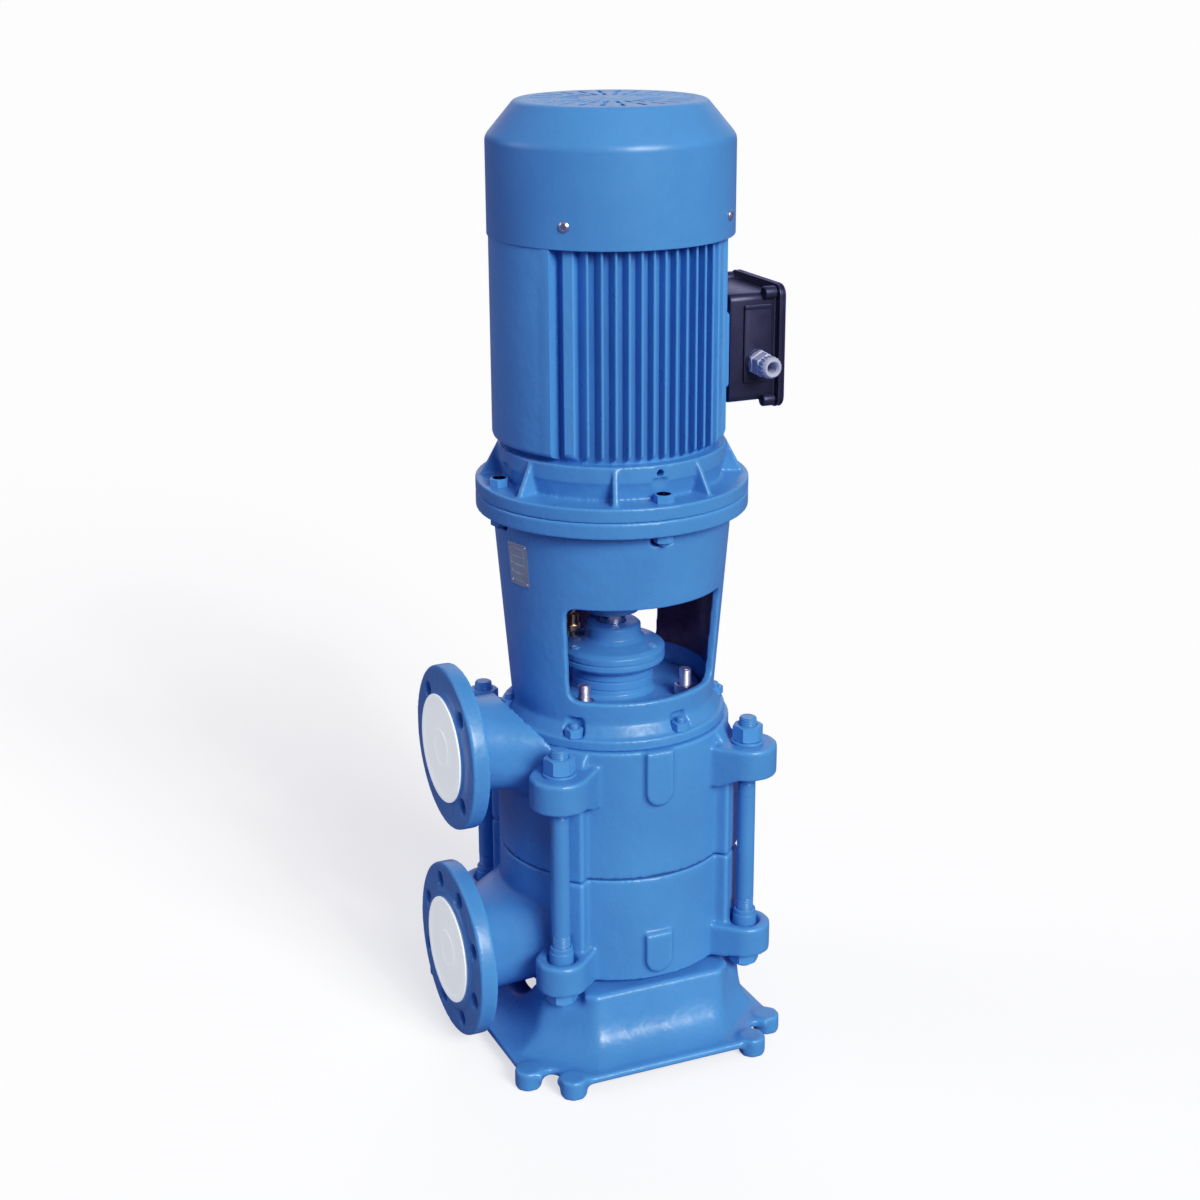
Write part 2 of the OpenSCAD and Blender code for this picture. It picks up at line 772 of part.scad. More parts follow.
module fan_cowl() {
    grille_slots = 24;
    grille_t = 3;
    color(pump_blue) difference() {
        rotate_extrude() polygon([
            [cowl_r - cowl_t, cowl_low], [cowl_r, cowl_low], [cowl_r, cowl_shoulder],
            [cowl_top_r, cowl_top], [0, cowl_top], [0, cowl_top - grille_t],
            [cowl_top_r - cowl_t, cowl_top - grille_t], [cowl_r - cowl_t, cowl_shoulder - 2]]);
        for (band = [[34, 56], [62, 88]])
            ring_of(grille_slots, 0) translate([-2.5, -band[1], cowl_top - grille_t - past])
                cube([5, band[1] - band[0], grille_t + 2 * past]);
        ring_of(4, 0, 45) translate([0, -cowl_r - past, cowl_screw_z]) rotate([-90, 0, 0])
            cylinder(r = 3.4, h = 10, $fn = 48);
    }
}

module cowl_screws() {
    color(steel) ring_of(4, 0, 45) translate([0, -cowl_r, cowl_screw_z]) rotate([-90, 0, 0]) {
        cylinder(r = 3, h = 14, $fn = 48);
        translate([0, 0, -3]) cylinder(r = 6, h = 3, $fn = 48);
    }
}

// Upright plate with round corners that faces +X
module lid_plate(x, t, half_y, low, high, r) {
    translate([x, 0, (low + high) / 2]) rotate([90, 0, 90])
        linear_extrude(t) round_rect(2 * half_y, high - low, r);
}

module terminal_box_body() {
    color(black_plastic) difference() {
        union() {
            lid_plate(box_inner_x, box_outer_x - box_inner_x, box_half_y, box_low, box_high, 8);
            translate([gland_x - 18, -box_half_y - 4, gland_z - 20]) cube([36, 8, 40]);
            at_lid_corners() translate([0, 0, -lid_t - gasket_t - 14]) cylinder(r = 7, h = 14, $fn = 48);
        }
        at_lid_corners() translate([0, 0, -32]) cylinder(r = 2.8, h = 30, $fn = 48);
        lid_plate(box_inner_x + box_wall, 60, box_half_y - box_wall,
            box_low + box_wall, box_high - box_wall, 5);
        translate([box_inner_x - past, -28, box_low + 32]) cube([20, 56, box_high - box_low - 64]);
        translate([gland_x, -box_half_y - 5, gland_z]) rotate([-90, 0, 0]) cylinder(r = 9, h = 20, $fn = 48);
    }
}

module terminal_box_gasket() {
    color([0.12, 0.12, 0.12]) difference() {
        lid_plate(box_outer_x, gasket_t, box_half_y, box_low, box_high, 8);
        lid_plate(box_outer_x - past, gasket_t + 2 * past, box_half_y - 8, box_low + 8, box_high - 8, 5);
    }
}

// Positions of the lid screws
module at_lid_corners() {
    for (sy = [-1, 1])
        for (z = [lid_low + 9, lid_high - 9])
            translate([box_reach, sy * (lid_half_y - 9), z]) rotate([0, 90, 0]) children();
}

module terminal_box_lid() {
    color(black_plastic) difference() {
        lid_plate(box_reach - lid_t, lid_t, lid_half_y, lid_low, lid_high, 12);
        lid_plate(box_reach - lid_t - past, 7, box_half_y - 4, box_low + 4, box_high - 4, 5);
        at_lid_corners() translate([0, 0, -30]) cylinder(r = 2.8, h = 40, $fn = 48);
        at_lid_corners() translate([0, 0, -3]) cylinder(r = 5.5, h = 10, $fn = 48);
    }
}

module terminal_lid_screws() {
    color(steel) at_lid_corners() {
        translate([0, 0, -18]) cylinder(r = 2.5, h = 16, $fn = 48);
        translate([0, 0, -3]) cylinder(r = 5, h = 3, $fn = 48);
    }
}

module terminal_block() {
    color([0.72, 0.30, 0.16]) translate([box_inner_x + box_wall, -30, gland_z + 18]) cube([12, 60, 26]);
    color([0.78, 0.62, 0.32])
        for (col = [-1, 0, 1])
            for (row = [0, 1])
                translate([box_inner_x + box_wall + 11, col * 19, gland_z + 25 + row * 12]) rotate([0, 90, 0])
                    cylinder(r = 2.5, h = 14, $fn = 48);
}

module gland_body() {
    color(steel) translate([gland_x, -box_half_y - 4, gland_z]) rotate([90, 0, 0]) difference() {
        union() {
            translate([0, 0, -10]) cylinder(r = 9, h = 30, $fn = 48);
            rotate(30) hexagon(26, 8);
        }
        translate([0, 0, -12]) cylinder(r = 6.5, h = 40, $fn = 48);
    }
}

module gland_nut() {
    color(steel) translate([gland_x, -box_half_y - 12, gland_z]) rotate([90, 0, 0]) difference() {
        union() {
            rotate(30) hexagon(24, 14);
            translate([0, 0, 13]) cylinder(r1 = 12, r2 = 8, h = 13, $fn = 48);
        }
        translate([0, 0, -past]) cylinder(r = 9, h = 13 + past, $fn = 48);
        translate([0, 0, 11]) cylinder(r = cable_r, h = 20, $fn = 48);
    }
}

// Half section of one bearing ring with its groove
module bearing_ring(r, bore, z) {
    translate([0, 0, z]) rotate_extrude() difference() {
        translate([bore, 0]) square([r - bore, bearing_h]);
        translate([race_r, bearing_h / 2]) circle(r = ball_r + 0.1, $fn = 48);
    }
}

// Balls of one bearing
module bearing_balls(z) {
    color(steel) ring_of(9, race_r) translate([0, 0, z + bearing_h / 2]) sphere(r = ball_r, $fn = 48);
}

module bearing_drive_outer() {
    color(steel) bearing_ring(bearing_or, race_r + 3.5, bearing_low_z);
}

module bearing_rear_outer() {
    color(steel) bearing_ring(bearing_or, race_r + 3.5, bearing_high_z);
}

module bearing_drive_inner() {
    color(steel) bearing_ring(race_r - 3.5, bearing_ir, bearing_low_z);
}

module bearing_rear_inner() {
    color(steel) bearing_ring(race_r - 3.5, bearing_ir, bearing_high_z);
}

module bearing_drive_balls() {
    bearing_balls(bearing_low_z);
}

module bearing_rear_balls() {
    bearing_balls(bearing_high_z);
}

module motor_shaft() {
    rotor_seat_r = 25;
    color(steel) translate([0, 0, motor_shaft_low]) rotate_extrude() polygon([
        [0, 0], [motor_shaft_r - 1, 0], [motor_shaft_r, 1],
        [motor_shaft_r, bearing_low_z - motor_shaft_low], [bearing_ir, bearing_low_z - motor_shaft_low],
        [bearing_ir, bearing_low_z + bearing_h - motor_shaft_low],
        [rotor_seat_r, bearing_low_z + bearing_h - motor_shaft_low],
        [rotor_seat_r, bearing_high_z - motor_shaft_low], [bearing_ir, bearing_high_z - motor_shaft_low],
        [bearing_ir, bearing_high_z + bearing_h - motor_shaft_low],
        [16, bearing_high_z + bearing_h - motor_shaft_low], [16, 1000 - motor_shaft_low],
        [0, 1000 - motor_shaft_low]]);
}

module motor_rotor() {
    ring_h = 10;
    color(cast_grey) {
        tube(65.4, 25, core_low, core_high - core_low);
        tube(62, 44, core_low - ring_h, ring_h);
        tube(62, 44, core_high, ring_h);
    }
}

module cooling_fan() {
    fan_z = 948;
    color([0.10, 0.10, 0.11]) {
        tube(26, 16, fan_z, 40);
        tube(104, 24, fan_z, 3);
        ring_of(7, 0) translate([-1.5, -108, fan_z + 2]) cube([3, 84, 36]);
    }
}

// One half of the split sleeve coupling, on the -Y side
module coupling_half() {
    color(pump_blue) difference() {
        translate([0, 0, coupling_low]) cylinder(r = coupling_r, h = coupling_high - coupling_low);
        translate([0, 0, coupling_low - past]) cylinder(r = shaft_r, h = 80);
        translate([0, 0, motor_shaft_low - 4]) cylinder(r = motor_shaft_r, h = 80);
        translate([-50, -0.5, coupling_low - past]) cube([100, 60, 120]);
        for (sx = [-1, 1])
            for (z = [512, 580])
                translate([sx * 24, 40, z]) rotate([90, 0, 0]) {
                    cylinder(r = 3.2, h = 80, $fn = 48);
                    translate([0, 0, 52]) cylinder(r = 5.5, h = 40, $fn = 48);
                }
    }
}

module coupling_half_front() {
    coupling_half();
}

module coupling_half_rear() {
    rotate(180) coupling_half();
}

module coupling_screws() {
    color(steel)
        for (sx = [-1, 1])
            for (z = [512, 580])
                translate([sx * 24, 0, z]) rotate([90, 0, 0]) {
                    translate([0, 0, -10]) cylinder(r = 3, h = 22, $fn = 48);
                    translate([0, 0, 12]) cylinder(r = 5, h = 5, $fn = 48);
                }
}

module pump_shaft() {
    color(steel) translate([0, 0, belly_low + 2]) cylinder(r = shaft_r, h = pump_shaft_top - belly_low - 2);
}

// Closed impeller with its eye at the bottom
module impeller(z) {
    blades = 6;
    color([0.66, 0.50, 0.30]) difference() {
        translate([0, 0, z]) {
            tube(eye_r, eye_r - 5, -8, 10);
            tube(impeller_r, eye_r - 5, 0, 3);
            translate([0, 0, 18]) cylinder(r = impeller_r, h = 3);
            cylinder(r = 22, h = impeller_h);
            ring_of(blades, 0) rotate(-30) translate([14, -impeller_r + 8, 1]) cube([3, 62, 18]);
        }
        cylinder(r = shaft_r, h = 400);
    }
}

module impeller_lower() {
    impeller(impeller_low_z);
}

module impeller_upper() {
    impeller(impeller_high_z);
}

module impeller_nut() {
    color(steel) translate([0, 0, impeller_low_z - 16]) hex_nut(40, 16, shaft_r);
}

module spacer_sleeve() {
    low = impeller_low_z + impeller_h;
    color(steel) {
        tube(shaft_r + 4, shaft_r, low, impeller_high_z - low);
        tube(shaft_r + 4, shaft_r, impeller_high_z + impeller_h, 60);
    }
}

module seal_rotating_ring() {
    color([0.22, 0.22, 0.24]) tube(22, shaft_r, casing_top, housing_top - 10 - casing_top);
}

// Protective cover pushed into a port, with its face on the raised face
module port_cover(z, bore_r) {
    color([0.93, 0.94, 0.95]) {
        bar_x(cover_r, -port_reach - cover_t, z, cover_t);
        translate([-port_reach - past, 0, z]) rotate([0, 90, 0]) difference() {
            cylinder(r = bore_r - 0.05, h = cover_spigot + past);
            translate([0, 0, past + 0.5]) cylinder(r = bore_r - 2.5, h = cover_spigot + past);
        }
    }
}

module suction_cover() {
    port_cover(suction_z, suction_bore_r);
}

module discharge_cover() {
    port_cover(discharge_z, discharge_bore_r);
}

base_pedestal();
suction_casing();
discharge_casing();
casing_gasket();
tie_rods();
tie_rod_nuts_upper();
tie_rod_nuts_lower();
tie_rod_washers();
diffuser_lower();
diffuser_upper();
wear_rings();
lower_bearing_bush();
drain_plug();
gauge_plug();
seal_housing();
bearing_cover();
seal_studs();
seal_stud_nuts();
seal_stationary_ring();
vent_valve();
lantern();
lantern_studs();
lantern_nuts();
nameplate();
motor_flange_shield();
flange_bolts();
flange_nuts();
motor_frame();
stator_core();
stator_windings();
motor_rear_shield();
fan_cowl();
cowl_screws();
terminal_box_body();
terminal_box_gasket();
terminal_box_lid();
terminal_lid_screws();
terminal_block();
gland_body();
gland_nut();
bearing_drive_outer();
bearing_rear_outer();
motor_shaft();
motor_rotor();
cooling_fan();
bearing_drive_inner();
bearing_rear_inner();
coupling_half_front();
coupling_half_rear();
coupling_screws();
pump_shaft();
impeller_lower();
impeller_upper();
impeller_nut();
spacer_sleeve();
seal_rotating_ring();
bearing_drive_balls();
bearing_rear_balls();
suction_cover();
discharge_cover();
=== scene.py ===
"""Looks of a vertical centrifugal pump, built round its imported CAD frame.

Z is the shaft axis, the ports face -X, the terminal box +X and the wide coupling window -Y.
Sizes in the shape functions are millimetres, and new_mesh turns them into metres.
"""
import json
import math

import bmesh
import bpy
from mathutils import Matrix, Vector


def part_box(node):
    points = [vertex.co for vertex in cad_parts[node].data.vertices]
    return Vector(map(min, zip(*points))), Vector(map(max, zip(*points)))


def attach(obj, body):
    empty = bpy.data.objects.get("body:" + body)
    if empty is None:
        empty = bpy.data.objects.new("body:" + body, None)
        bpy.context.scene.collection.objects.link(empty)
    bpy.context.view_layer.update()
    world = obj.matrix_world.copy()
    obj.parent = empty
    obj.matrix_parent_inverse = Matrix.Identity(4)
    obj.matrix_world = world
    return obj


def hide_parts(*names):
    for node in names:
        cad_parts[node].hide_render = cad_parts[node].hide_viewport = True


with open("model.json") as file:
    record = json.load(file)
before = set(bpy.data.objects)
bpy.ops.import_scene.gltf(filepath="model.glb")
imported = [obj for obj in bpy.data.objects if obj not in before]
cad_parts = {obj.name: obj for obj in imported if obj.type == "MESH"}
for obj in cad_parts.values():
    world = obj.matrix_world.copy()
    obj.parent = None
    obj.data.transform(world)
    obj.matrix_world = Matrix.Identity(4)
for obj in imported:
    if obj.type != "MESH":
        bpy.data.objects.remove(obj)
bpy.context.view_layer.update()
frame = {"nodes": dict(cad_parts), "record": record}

MM = 0.001
BODIES = frame["record"]["behaviour"]["bodies"]
BODY_OF = {node: body for body, nodes in BODIES.items() for node in nodes}


def low_high(node):
    """Lowest and highest corner of a CAD node, in millimetres."""
    low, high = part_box(node)
    return low / MM, high / MM


# ------------------------------------------------------------------ materials

class Graph:
    """A material with its node tree, and short ways to add to it."""

    def __init__(self, name):
        self.material = bpy.data.materials.new(name)
        self.material.use_nodes = True
        self.tree = self.material.node_tree
        self.shader = self.tree.nodes["Principled BSDF"]
        self.place = self.add("ShaderNodeTexCoord").outputs["Object"]

    def add(self, kind, **inputs):
        """Adds a node and sets its inputs, named with underscores for spaces."""
        node = self.tree.nodes.new(kind)
        for key, value in inputs.items():
            node.inputs[key.replace("_", " ")].default_value = value
        return node

    def link(self, source, target):
        self.tree.links.new(source, target)

    def set(self, **inputs):
        """Sets inputs of the surface shader."""
        for key, value in inputs.items():
            self.shader.inputs[key.replace("_", " ")].default_value = value

    def noise(self, scale, detail=4.0, roughness=0.55, stretch=None):
        """Noise of so many features per metre, stretched along an axis if asked."""
        noise = self.add("ShaderNodeTexNoise", Scale=scale, Detail=detail, Roughness=roughness)
        source = self.place
        if stretch:
            mapping = self.add("ShaderNodeMapping", Scale=stretch)
            self.link(self.place, mapping.inputs["Vector"])
            source = mapping.outputs["Vector"]
        self.link(source, noise.inputs["Vector"])
        return noise.outputs["Fac"]

    def ramp(self, source, stops):
        """Colour ramp through stops of (position, colour)."""
        node = self.add("ShaderNodeValToRGB")
        elements = node.color_ramp.elements
        while len(elements) < len(stops):
            elements.new(0.5)
        for element, (position, colour) in zip(elements, stops):
            element.position = position
            element.color = (*colour, 1.0)
        self.link(source, node.inputs["Fac"])
        return node.outputs["Color"]

    def spread(self, source, low, high):
        """Maps a 0.3 to 0.7 noise value to a range."""
        node = self.add("ShaderNodeMapRange", From_Min=0.3, From_Max=0.7, To_Min=low, To_Max=high)
        self.link(source, node.inputs["Value"])
        return node.outputs["Result"]

    def mix(self, factor, first, second, blend="MIX"):
        """Mixes two colours, each a socket or an RGB triple."""
        node = self.tree.nodes.new("ShaderNodeMix")
        node.data_type = "RGBA"
        node.blend_type = blend
        for index, value in ((0, factor), (6, first), (7, second)):
            if isinstance(value, bpy.types.NodeSocket):
                self.link(value, node.inputs[index])
            elif index == 0:
                node.inputs[index].default_value = value
            else:
                node.inputs[index].default_value = (*value, 1.0)
        return node.outputs[2]

    def bump(self, source, depth, strength=1.0, after=None):
        """Bump of a depth in metres, laid on an earlier bump if given."""
        node = self.add("ShaderNodeBump", Strength=strength, Distance=depth)
        self.link(source, node.inputs["Height"])
        if after is not None:
            self.link(after, node.inputs["Normal"])
        return node.outputs["Normal"]

    def inside(self, radius, lean, low, high):
        """1 inside a cone round the shaft axis between two heights, else 0, with a soft edge.

        radius is that of the cone at the lower height, and lean is how much it grows per unit of height.
        """
        edge = 0.0015
        split = self.add("ShaderNodeSeparateXYZ")
        self.link(self.place, split.inputs[0])
        height = split.outputs["Z"]
        flat = self.add("ShaderNodeCombineXYZ")
        self.link(split.outputs["X"], flat.inputs["X"])
        self.link(split.outputs["Y"], flat.inputs["Y"])
        length = self.add("ShaderNodeVectorMath")
        length.operation = "LENGTH"
        self.link(flat.outputs[0], length.inputs[0])
        growth = self.add("ShaderNodeMath")
        growth.operation = "MULTIPLY_ADD"
        self.link(height, growth.inputs[0])
        growth.inputs[1].default_value = -lean
        growth.inputs[2].default_value = lean * low
        upright = self.maths("ADD", length.outputs["Value"], growth.outputs["Value"])
        near = self.step(upright, radius, radius - edge)
        above = self.step(height, low, low + edge)
        below = self.step(height, high, high - edge)
        return self.maths("MULTIPLY", near, self.maths("MULTIPLY", above, below))

    def step(self, source, start, end):
        """0 up to start and 1 from end on; start may be the larger."""
        node = self.add("ShaderNodeMapRange", From_Min=start, From_Max=end)
        self.link(source, node.inputs["Value"])
        return node.outputs["Result"]

    def maths(self, operation, first, second):
        """A sum or product of two sockets."""
        node = self.add("ShaderNodeMath")
        node.operation = operation
        self.link(first, node.inputs[0])
        self.link(second, node.inputs[1])
        return node.outputs["Value"]

    def colour(self, socket):
        self.link(socket, self.shader.inputs["Base Color"])

    def rough(self, socket):
        self.link(socket, self.shader.inputs["Roughness"])

    def normal(self, socket):
        self.link(socket, self.shader.inputs["Normal"])


def scaled(colour, factor):
    """A colour made lighter or darker."""
    return tuple(min(1.0, c * factor) for c in colour)


def painted(name, colour, waviness, peel, gloss=(0.26, 0.38), inner_shade=None):
    """Blue enamel over a surface: orange peel, a painted highlight that lightens edges and painted shade
    that darkens hollow corners.

    The last argument gives the cone inside which the walls take a dark maroon painted shade: its radius at
    the lower height, its growth with height and the two heights, in metres.
    """
    g = Graph(name)
    cloud = g.ramp(g.noise(9.0, 3.0), [(0.3, scaled(colour, 0.90)), (0.7, scaled(colour, 1.06))])
    fleck = g.ramp(g.noise(230.0, 2.0), [(0.35, (0.94, 0.95, 0.96)), (0.6, (1.0, 1.0, 1.0))])
    body = g.mix(0.7, cloud, fleck, "MULTIPLY")
    bend = g.add("ShaderNodeNewGeometry").outputs["Pointiness"]
    # painted highlight on edges that bend outwards and painted shade in hollow corners, both read from
    # pointiness
    edge = g.ramp(bend, [(0.505, (0.0, 0.0, 0.0)), (0.56, (0.45, 0.45, 0.45))])
    corner = g.ramp(bend, [(0.43, (0.5, 0.5, 0.5)), (0.495, (0.0, 0.0, 0.0))])
    body = g.mix(edge, body, scaled(colour, 1.5))
    body = g.mix(corner, body, scaled(colour, 0.55))
    # painted shade: walls inside the lantern window turn dark maroon
    if inner_shade:
        body = g.mix(g.inside(*inner_shade), body, PAINTED_INNER_SHADE)
    g.colour(body)
    g.rough(g.spread(g.noise(38.0), *gloss))
    rolling = g.bump(g.noise(55.0, 2.0), waviness)
    g.normal(g.bump(g.noise(620.0, 2.0), peel, after=rolling))
    g.set(Specular_IOR_Level=0.45)
    return g.material


def metal(name, colour, roughness, stretch=(1.0, 1.0, 14.0), scale=160.0, grain=0.00002):
    """Turned or drawn metal with fine marks along one way and a slightly uneven tint."""
    g = Graph(name)
    g.colour(g.ramp(g.noise(22.0), [(0.3, scaled(colour, 0.82)), (0.7, scaled(colour, 1.08))]))
    marks = g.noise(scale, 3.0, stretch=stretch)
    g.rough(g.spread(marks, roughness * 0.8, roughness * 1.25))
    g.normal(g.bump(marks, grain))
    g.set(Metallic=1.0)
    return g.material


def iron(name, colour):
    """Sand-cast iron with a grainy skin."""
    g = Graph(name)
    g.colour(g.ramp(g.noise(60.0), [(0.3, scaled(colour, 0.7)), (0.7, scaled(colour, 1.15))]))
    g.rough(g.spread(g.noise(120.0), 0.55, 0.75))
    g.normal(g.bump(g.noise(420.0, 5.0), 0.0003))
    g.set(Metallic=0.6)
    return g.material


def plastic(name, colour, gloss, grain, scale=900.0, tint=0.10, painted_glow=0.0):
    """Moulded plastic with a spark-eroded grain; the glow strength is painted light, an emission that
    brightens the part beyond what its lamps give.
    """
    g = Graph(name)
    g.colour(g.ramp(g.noise(16.0), [(0.3, scaled(colour, 1 - tint)), (0.7, scaled(colour, 1 + tint))]))
    # painted light: the part glows in its own colour
    g.set(Emission_Color=(*colour, 1.0), Emission_Strength=painted_glow)
    g.rough(g.spread(g.noise(45.0), *gloss))
    g.normal(g.bump(g.noise(scale, 2.0), grain))
    g.set(Specular_IOR_Level=0.5)
    return g.material


def windings(name):
    """Varnished copper wire, wound round."""
    g = Graph(name)
    wire = g.noise(300.0, 1.0, stretch=(1.0, 1.0, 6.0))
    g.colour(g.ramp(wire, [(0.35, (0.26, 0.09, 0.03)), (0.65, (0.62, 0.27, 0.11))]))
    g.rough(g.spread(wire, 0.25, 0.45))
    g.normal(g.bump(wire, 0.0006))
    g.set(Metallic=0.8)
    return g.material


BLUE = (0.068, 0.262, 0.54)
# dark maroon painted shade for the walls inside the lantern window
PAINTED_INNER_SHADE = (0.060, 0.022, 0.050)

FINISHES = {
    "blue_casting": painted("cast_enamel", BLUE, 0.0009, 0.00005),
    # lantern paint, with painted shade on the walls inside its window
    "blue_lantern": painted("lantern_enamel", BLUE, 0.0009, 0.00005,
        inner_shade=(0.1085, 0.0816, 0.42, 0.60)),
    "blue_sheet": painted("sheet_enamel", scaled(BLUE, 1.04), 0.0003, 0.00003, (0.30, 0.40)),
    "blue_fastener": painted("fastener_enamel", scaled(BLUE, 0.95), 0.0002, 0.00003),
    "zinc_steel": metal("zinc_plated_steel", (0.62, 0.64, 0.66), 0.3),
    "bare_steel": metal("turned_steel", (0.56, 0.57, 0.59), 0.26),
    "grey_iron": iron("grey_cast_iron", (0.24, 0.24, 0.25)),
    "bronze": metal("brass", (0.72, 0.50, 0.22), 0.28),
    "copper_wire": windings("varnished_copper"),
    "lilac_zinc": metal("passivated_zinc", (0.66, 0.66, 0.74), 0.40),
    "seam_enamel": painted("seam_enamel", scaled(BLUE, 0.30), 0.0002, 0.00003, (0.40, 0.50)),
    "seal_face": plastic("seal_carbon", (0.06, 0.06, 0.07), (0.3, 0.4), 0.00001),
    "gasket_rubber": plastic("gasket_rubber", (0.03, 0.03, 0.032), (0.6, 0.8), 0.00004),
    "black_plastic": plastic("black_plastic", (0.012, 0.012, 0.014), (0.32, 0.46), 0.00005),
    "red_plastic": plastic("red_brown_plastic", (0.30, 0.08, 0.05), (0.35, 0.5), 0.00003),
    "grey_gland": plastic("grey_gland_plastic", (0.44, 0.46, 0.52), (0.28, 0.42), 0.00003),
    "plate_label": metal("anodised_plate", (0.50, 0.60, 0.56), 0.42, (14.0, 14.0, 1.0)),
    # the white covers glow a little: painted light that keeps their shaded side bright
    "cover_white": plastic("white_plastic", (0.86, 0.90, 0.92), (0.24, 0.34), 0.00001, 300.0, 0.02, 0.45),
}


# --------------------------------------------------------------- mesh helpers

def rounded(corners, steps=5):
    """Closed outline whose corners (x, y, radius) are turned into arcs."""
    outline = []
    count = len(corners)
    for index, (x, y, radius) in enumerate(corners):
        here = Vector((x, y))
        before = Vector(corners[index - 1][:2]) - here
        after = Vector(corners[(index + 1) % count][:2]) - here
        half = before.angle(after) / 2
        if radius == 0 or half > 1.55:
            outline.append((x, y))
            continue
        reach = min(radius / math.tan(half), 0.49 * before.length, 0.49 * after.length)
        bend = reach * math.tan(half)
        middle = (before.normalized() + after.normalized()).normalized()
        centre = here + middle * (bend / math.sin(half))
        start = here + before.normalized() * reach - centre
        end = here + after.normalized() * reach - centre
        sweep = start.angle_signed(end)
        first = math.atan2(start.y, start.x)
        for step in range(steps + 1):
            angle = first - sweep * step / steps
            outline.append((centre.x + bend * math.cos(angle), centre.y + bend * math.sin(angle)))
    return outline


def lathe(profile, steps=96):
    """Solid made by turning a closed outline of (radius, height) points round Z."""
    bm = bmesh.new()
    rings = []
    for k in range(steps):
        angle = 2 * math.pi * k / steps
        rings.append([bm.verts.new((r * math.cos(angle), r * math.sin(angle), z)) for r, z in profile])
    for k in range(steps):
        here = rings[k]
        there = rings[(k + 1) % steps]
        for i in range(len(profile)):
            j = (i + 1) % len(profile)
            if profile[i][0] > 0 or profile[j][0] > 0:
                bm.faces.new((here[i], here[j], there[j], there[i]))
    bmesh.ops.remove_doubles(bm, verts=bm.verts, dist=0.0005)
    bmesh.ops.recalc_face_normals(bm, faces=bm.faces)
    return bm


def loft(layers):
    """Solid through outlines of equal length, given as (height, outline), with flat ends."""
    bm = bmesh.new()
    rings = [[bm.verts.new((x, y, z)) for x, y in outline] for z, outline in layers]
    count = len(rings[0])
    for low, high in zip(rings, rings[1:]):
        for i in range(count):
            j = (i + 1) % count
            bm.faces.new((low[i], low[j], high[j], high[i]))
    bm.faces.new(reversed(rings[0]))
    bm.faces.new(rings[-1])
    bmesh.ops.recalc_face_normals(bm, faces=bm.faces)
    return bm


def inset(outline, amount):
    """The outline scaled about its middle so that its half width shrinks by an amount."""
    reach = max(abs(x) for x, y in outline)
    rise = max(abs(y) for x, y in outline)
    return [(x * (1 - amount / reach), y * (1 - amount / rise)) for x, y in outline]


def slab(outline, low, high, edge):
    """Plate with rounded rims round an outline that is centred on the axis."""
    soft = [(0.0, 1.0), (0.3, 0.3), (1.0, 0.0)]
    layers = [(low + edge * up, inset(outline, edge * back)) for up, back in soft]
    layers += [(high - edge * up, inset(outline, edge * back)) for up, back in reversed(soft)]
    return loft(layers)


def box_outline(half_x, half_y, radius, steps=6):
    """Rectangle with rounded corners."""
    return rounded([(half_x, half_y, radius), (-half_x, half_y, radius),
        (-half_x, -half_y, radius), (half_x, -half_y, radius)], steps)


def nut(across, height, bore, low_chamfer=True):
    """Hexagonal nut with its corners chamfered by a cone and a countersunk bore."""
    flat = across / 2
    steps = 72
    bm = bmesh.new()
    rings = []
    for k in range(steps):
        angle = 2 * math.pi * k / steps
        corner = flat / math.cos((angle + math.pi / 6) % (math.pi / 3) - math.pi / 6)
        drop = 0.3 + (corner - flat) * math.tan(math.radians(30))
        foot = drop if low_chamfer else 0.0
        land = flat * 0.95 if low_chamfer else corner
        points = [(bore, 0.8), (bore + 0.8, 0.0), (land, 0.0), (corner, foot), (corner, height - drop),
            (flat * 0.95, height), (bore + 0.8, height), (bore, height - 0.8)]
        rings.append([bm.verts.new((r * math.cos(angle), r * math.sin(angle), z)) for r, z in points])
    for k in range(steps):
        here = rings[k]
        there = rings[(k + 1) % steps]
        for i in range(len(here)):
            j = (i + 1) % len(here)
            bm.faces.new((here[i], here[j], there[j], there[i]))
    bmesh.ops.remove_doubles(bm, verts=bm.verts, dist=0.0005)
    bmesh.ops.recalc_face_normals(bm, faces=bm.faces)
    return bm


def threaded(radius, low, high, pitch, plain=None):
    """Rod with a helical thread; between the two heights in plain it stays smooth."""
    steps = 32
    depth = pitch * 0.5
    rows = max(2, round((high - low) / (pitch / 6)))
    bm = bmesh.new()
    rings = []
    for row in range(rows + 1):
        z = low + (high - low) * row / rows
        ring = []
        for k in range(steps):
            turn = k / steps
            wave = abs(((z / pitch - turn) % 1.0) * 2 - 1)
            smooth = plain and plain[0] < z < plain[1]
            taper = min(1.5, z - low, high - z)
            r = radius - (0.0 if smooth else depth * wave) - (1.5 - taper)
            angle = 2 * math.pi * turn
            ring.append(bm.verts.new((r * math.cos(angle), r * math.sin(angle), z)))
        rings.append(ring)
    for here, there in zip(rings, rings[1:]):
        for k in range(steps):
            j = (k + 1) % steps
            bm.faces.new((here[k], here[j], there[j], there[k]))
    bm.faces.new(reversed(rings[0]))
    bm.faces.new(rings[-1])
    return bm


TO_X = Matrix.Rotation(math.radians(90), 4, "Y")
TO_PORTS = Matrix.Rotation(math.radians(-90), 4, "Y")
TO_FRONT = Matrix.Rotation(math.radians(90), 4, "X")
TO_BACK = Matrix.Rotation(math.radians(-90), 4, "X")
SIDES = (-1, 1)


def at(x, y, z):
    """Place shifted along the three axes."""
    return Matrix.Translation((x, y, z))


def moved(bm, matrix):
    """The bmesh, put at a place."""
    bmesh.ops.transform(bm, matrix=matrix, verts=bm.verts)
    return bm


